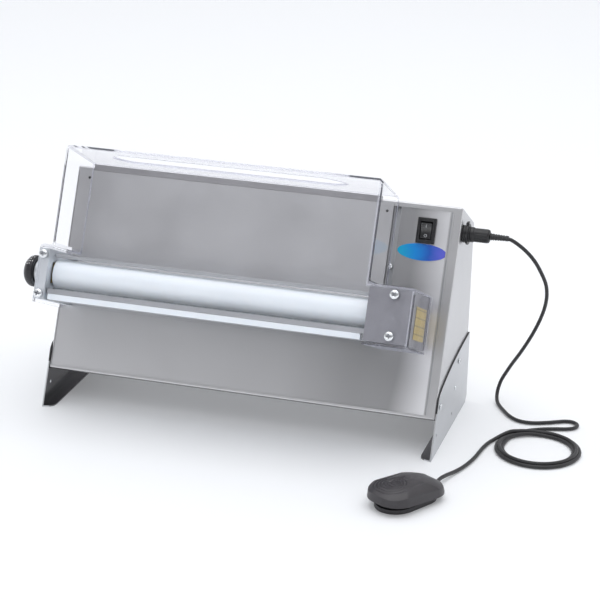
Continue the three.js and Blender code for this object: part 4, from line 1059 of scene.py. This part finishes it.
def dress_nodes():
    looks = {
        STAINLESS: ("feed_panel", "rear_cover", "bottom_plate"),
        PAINTED_FRONT_STAINLESS: ("front_panel",),
        STRIP_STAINLESS: ("guard_top_rail",),
        FOOT_STAINLESS: ("left_bracket", "right_bracket"),
        HOUSING_ALLOY: ("right_gear_housing", "gearbox"),
        LIGHT_ALLOY: ("left_end_plate", "knob_collar"),
        RAIL_ALLOY: ("upper_rail", "scraper_rail", "lower_tie_plate"),
        STEEL: ("rear_roller_shaft", "front_roller_shaft", "rear_roller_gear", "front_roller_gear",
                "rear_scraper", "front_scraper", "knob_spindle", "motor_mount", "drive_sprocket",
                "roller_sprocket", "pedal_hinge_pin"),
        BRASS: ("rear_bush_left", "rear_bush_right", "front_bearing_left", "front_bearing_right"),
        ROLLER: ("scraper_bar",),
        BLACK: ("control_box", "mains_gland"),
        MOTOR_PAINT: ("gear_motor",),
        LABEL: ("warning_label",),
        CHAIN: ("drive_chain",),
    }
    finer = {"warning_label": 0.1, "feed_panel": 0.2, "front_scraper": 0.15}
    for look, names in looks.items():
        for name in names:
            dress(name, look, finer.get(name, 0.3))
    # Painted shade on the feet's inward faces and flanges.
    for name, inward in (("left_bracket", 1), ("right_bracket", -1)):
        shade_inner_faces(NODES[name].data, inward)


# -------- studio
def make_floor():
    """A wide, faintly glowing white table that lifts softly far behind the object."""
    bm = bmesh.new()
    near, far, half_width, clear_below = -6.0, 6.0, 7, 0.00005
    profile = [(near, 0), (far, 0)] + curve_points((far, 0), (8.6, 0), (9.4, 2.2), 12)
    rows = [[bm.verts.new((x, y, z - clear_below)) for y, z in profile] for x in (-half_width, half_width)]
    for i in range(len(profile) - 1):
        bm.faces.new((rows[0][i], rows[1][i], rows[1][i + 1], rows[0][i + 1]))
    mesh = bpy.data.meshes.new("floor")
    bm.to_mesh(mesh)
    bm.free()
    for polygon in mesh.polygons:
        polygon.use_smooth = True
    floor = bpy.data.objects.new("floor", mesh)
    SCENE.collection.objects.link(floor)
    look = Look("floor", (0.80, 0.81, 0.825), 0.55)
    look.set("Emission Color", (0.98, 0.99, 1.0, 1))
    look.set("Emission Strength", 0.13)
    mesh.materials.append(look.material)


def make_world():
    """A soft white room: bright low down and overhead, and dimmer between."""
    world = bpy.data.worlds.new("studio")
    SCENE.world = world
    world.use_nodes = True
    tree = world.node_tree
    background = next(n for n in tree.nodes if n.type == "BACKGROUND")
    place = tree.nodes.new("ShaderNodeTexCoord")
    parts = tree.nodes.new("ShaderNodeSeparateXYZ")
    ramp = tree.nodes.new("ShaderNodeValToRGB")
    tree.links.new(place.outputs["Generated"], parts.inputs["Vector"])
    tree.links.new(parts.outputs["Z"], ramp.inputs["Fac"])
    tree.links.new(ramp.outputs["Color"], background.inputs["Color"])
    stops = [(0.0, (1.75, 1.77, 1.8)), (0.12, (1.15, 1.16, 1.18)), (0.32, (0.36, 0.365, 0.38)),
             (0.56, (0.38, 0.385, 0.40)), (0.72, (1.0, 1.01, 1.04)), (1.0, (1.5, 1.52, 1.56))]
    elements = ramp.color_ramp.elements
    while len(elements) < len(stops):
        elements.new(0.5)
    for element, (position, color) in zip(elements, stops):
        element.position = position
        element.color = (*color, 1)


def make_lamps():
    lamps = [
        ("top_box", (0.1, 0.1, 2.6), (0, 0, 0), 2.6, 18),
        ("front_box", (-0.9, -3.0, 0.42), (0, 0, 0.12), 1.5, 3),
        ("left_box", (-2.8, 0.6, 1.4), (0, 0, 0.15), 1.6, 5),
        ("right_box", (2.6, 0.9, 1.3), (0.1, 0, 0.15), 1.8, 5),
        ("rear_box", (0.0, 2.6, 1.8), (0, 0.1, 0.1), 1.8, 2),
    ]
    for name, spot, target, size, power in lamps:
        data = bpy.data.lights.new(name, "AREA")
        data.shape = "SQUARE"
        data.size = size
        data.energy = power
        lamp = bpy.data.objects.new(name, data)
        lamp.location = spot
        lamp.rotation_mode = "QUATERNION"
        lamp.rotation_quaternion = (Vector(target) - Vector(spot)).to_track_quat("-Z", "Y")
        SCENE.collection.objects.link(lamp)


# -------- assembly
lead = make_lead()
make_socket()
plug_pieces = make_plug()
make_case()
make_front_trim()
make_guard()
make_screws()
make_bracket_details()
make_rollers()
make_knob()
make_switch()
make_badge()
make_treadle()
make_pedal_base()
dress_nodes()
make_floor()
make_world()
make_lamps()
SCENE.view_settings.view_transform = "Standard"
SCENE.view_settings.exposure = 0.0
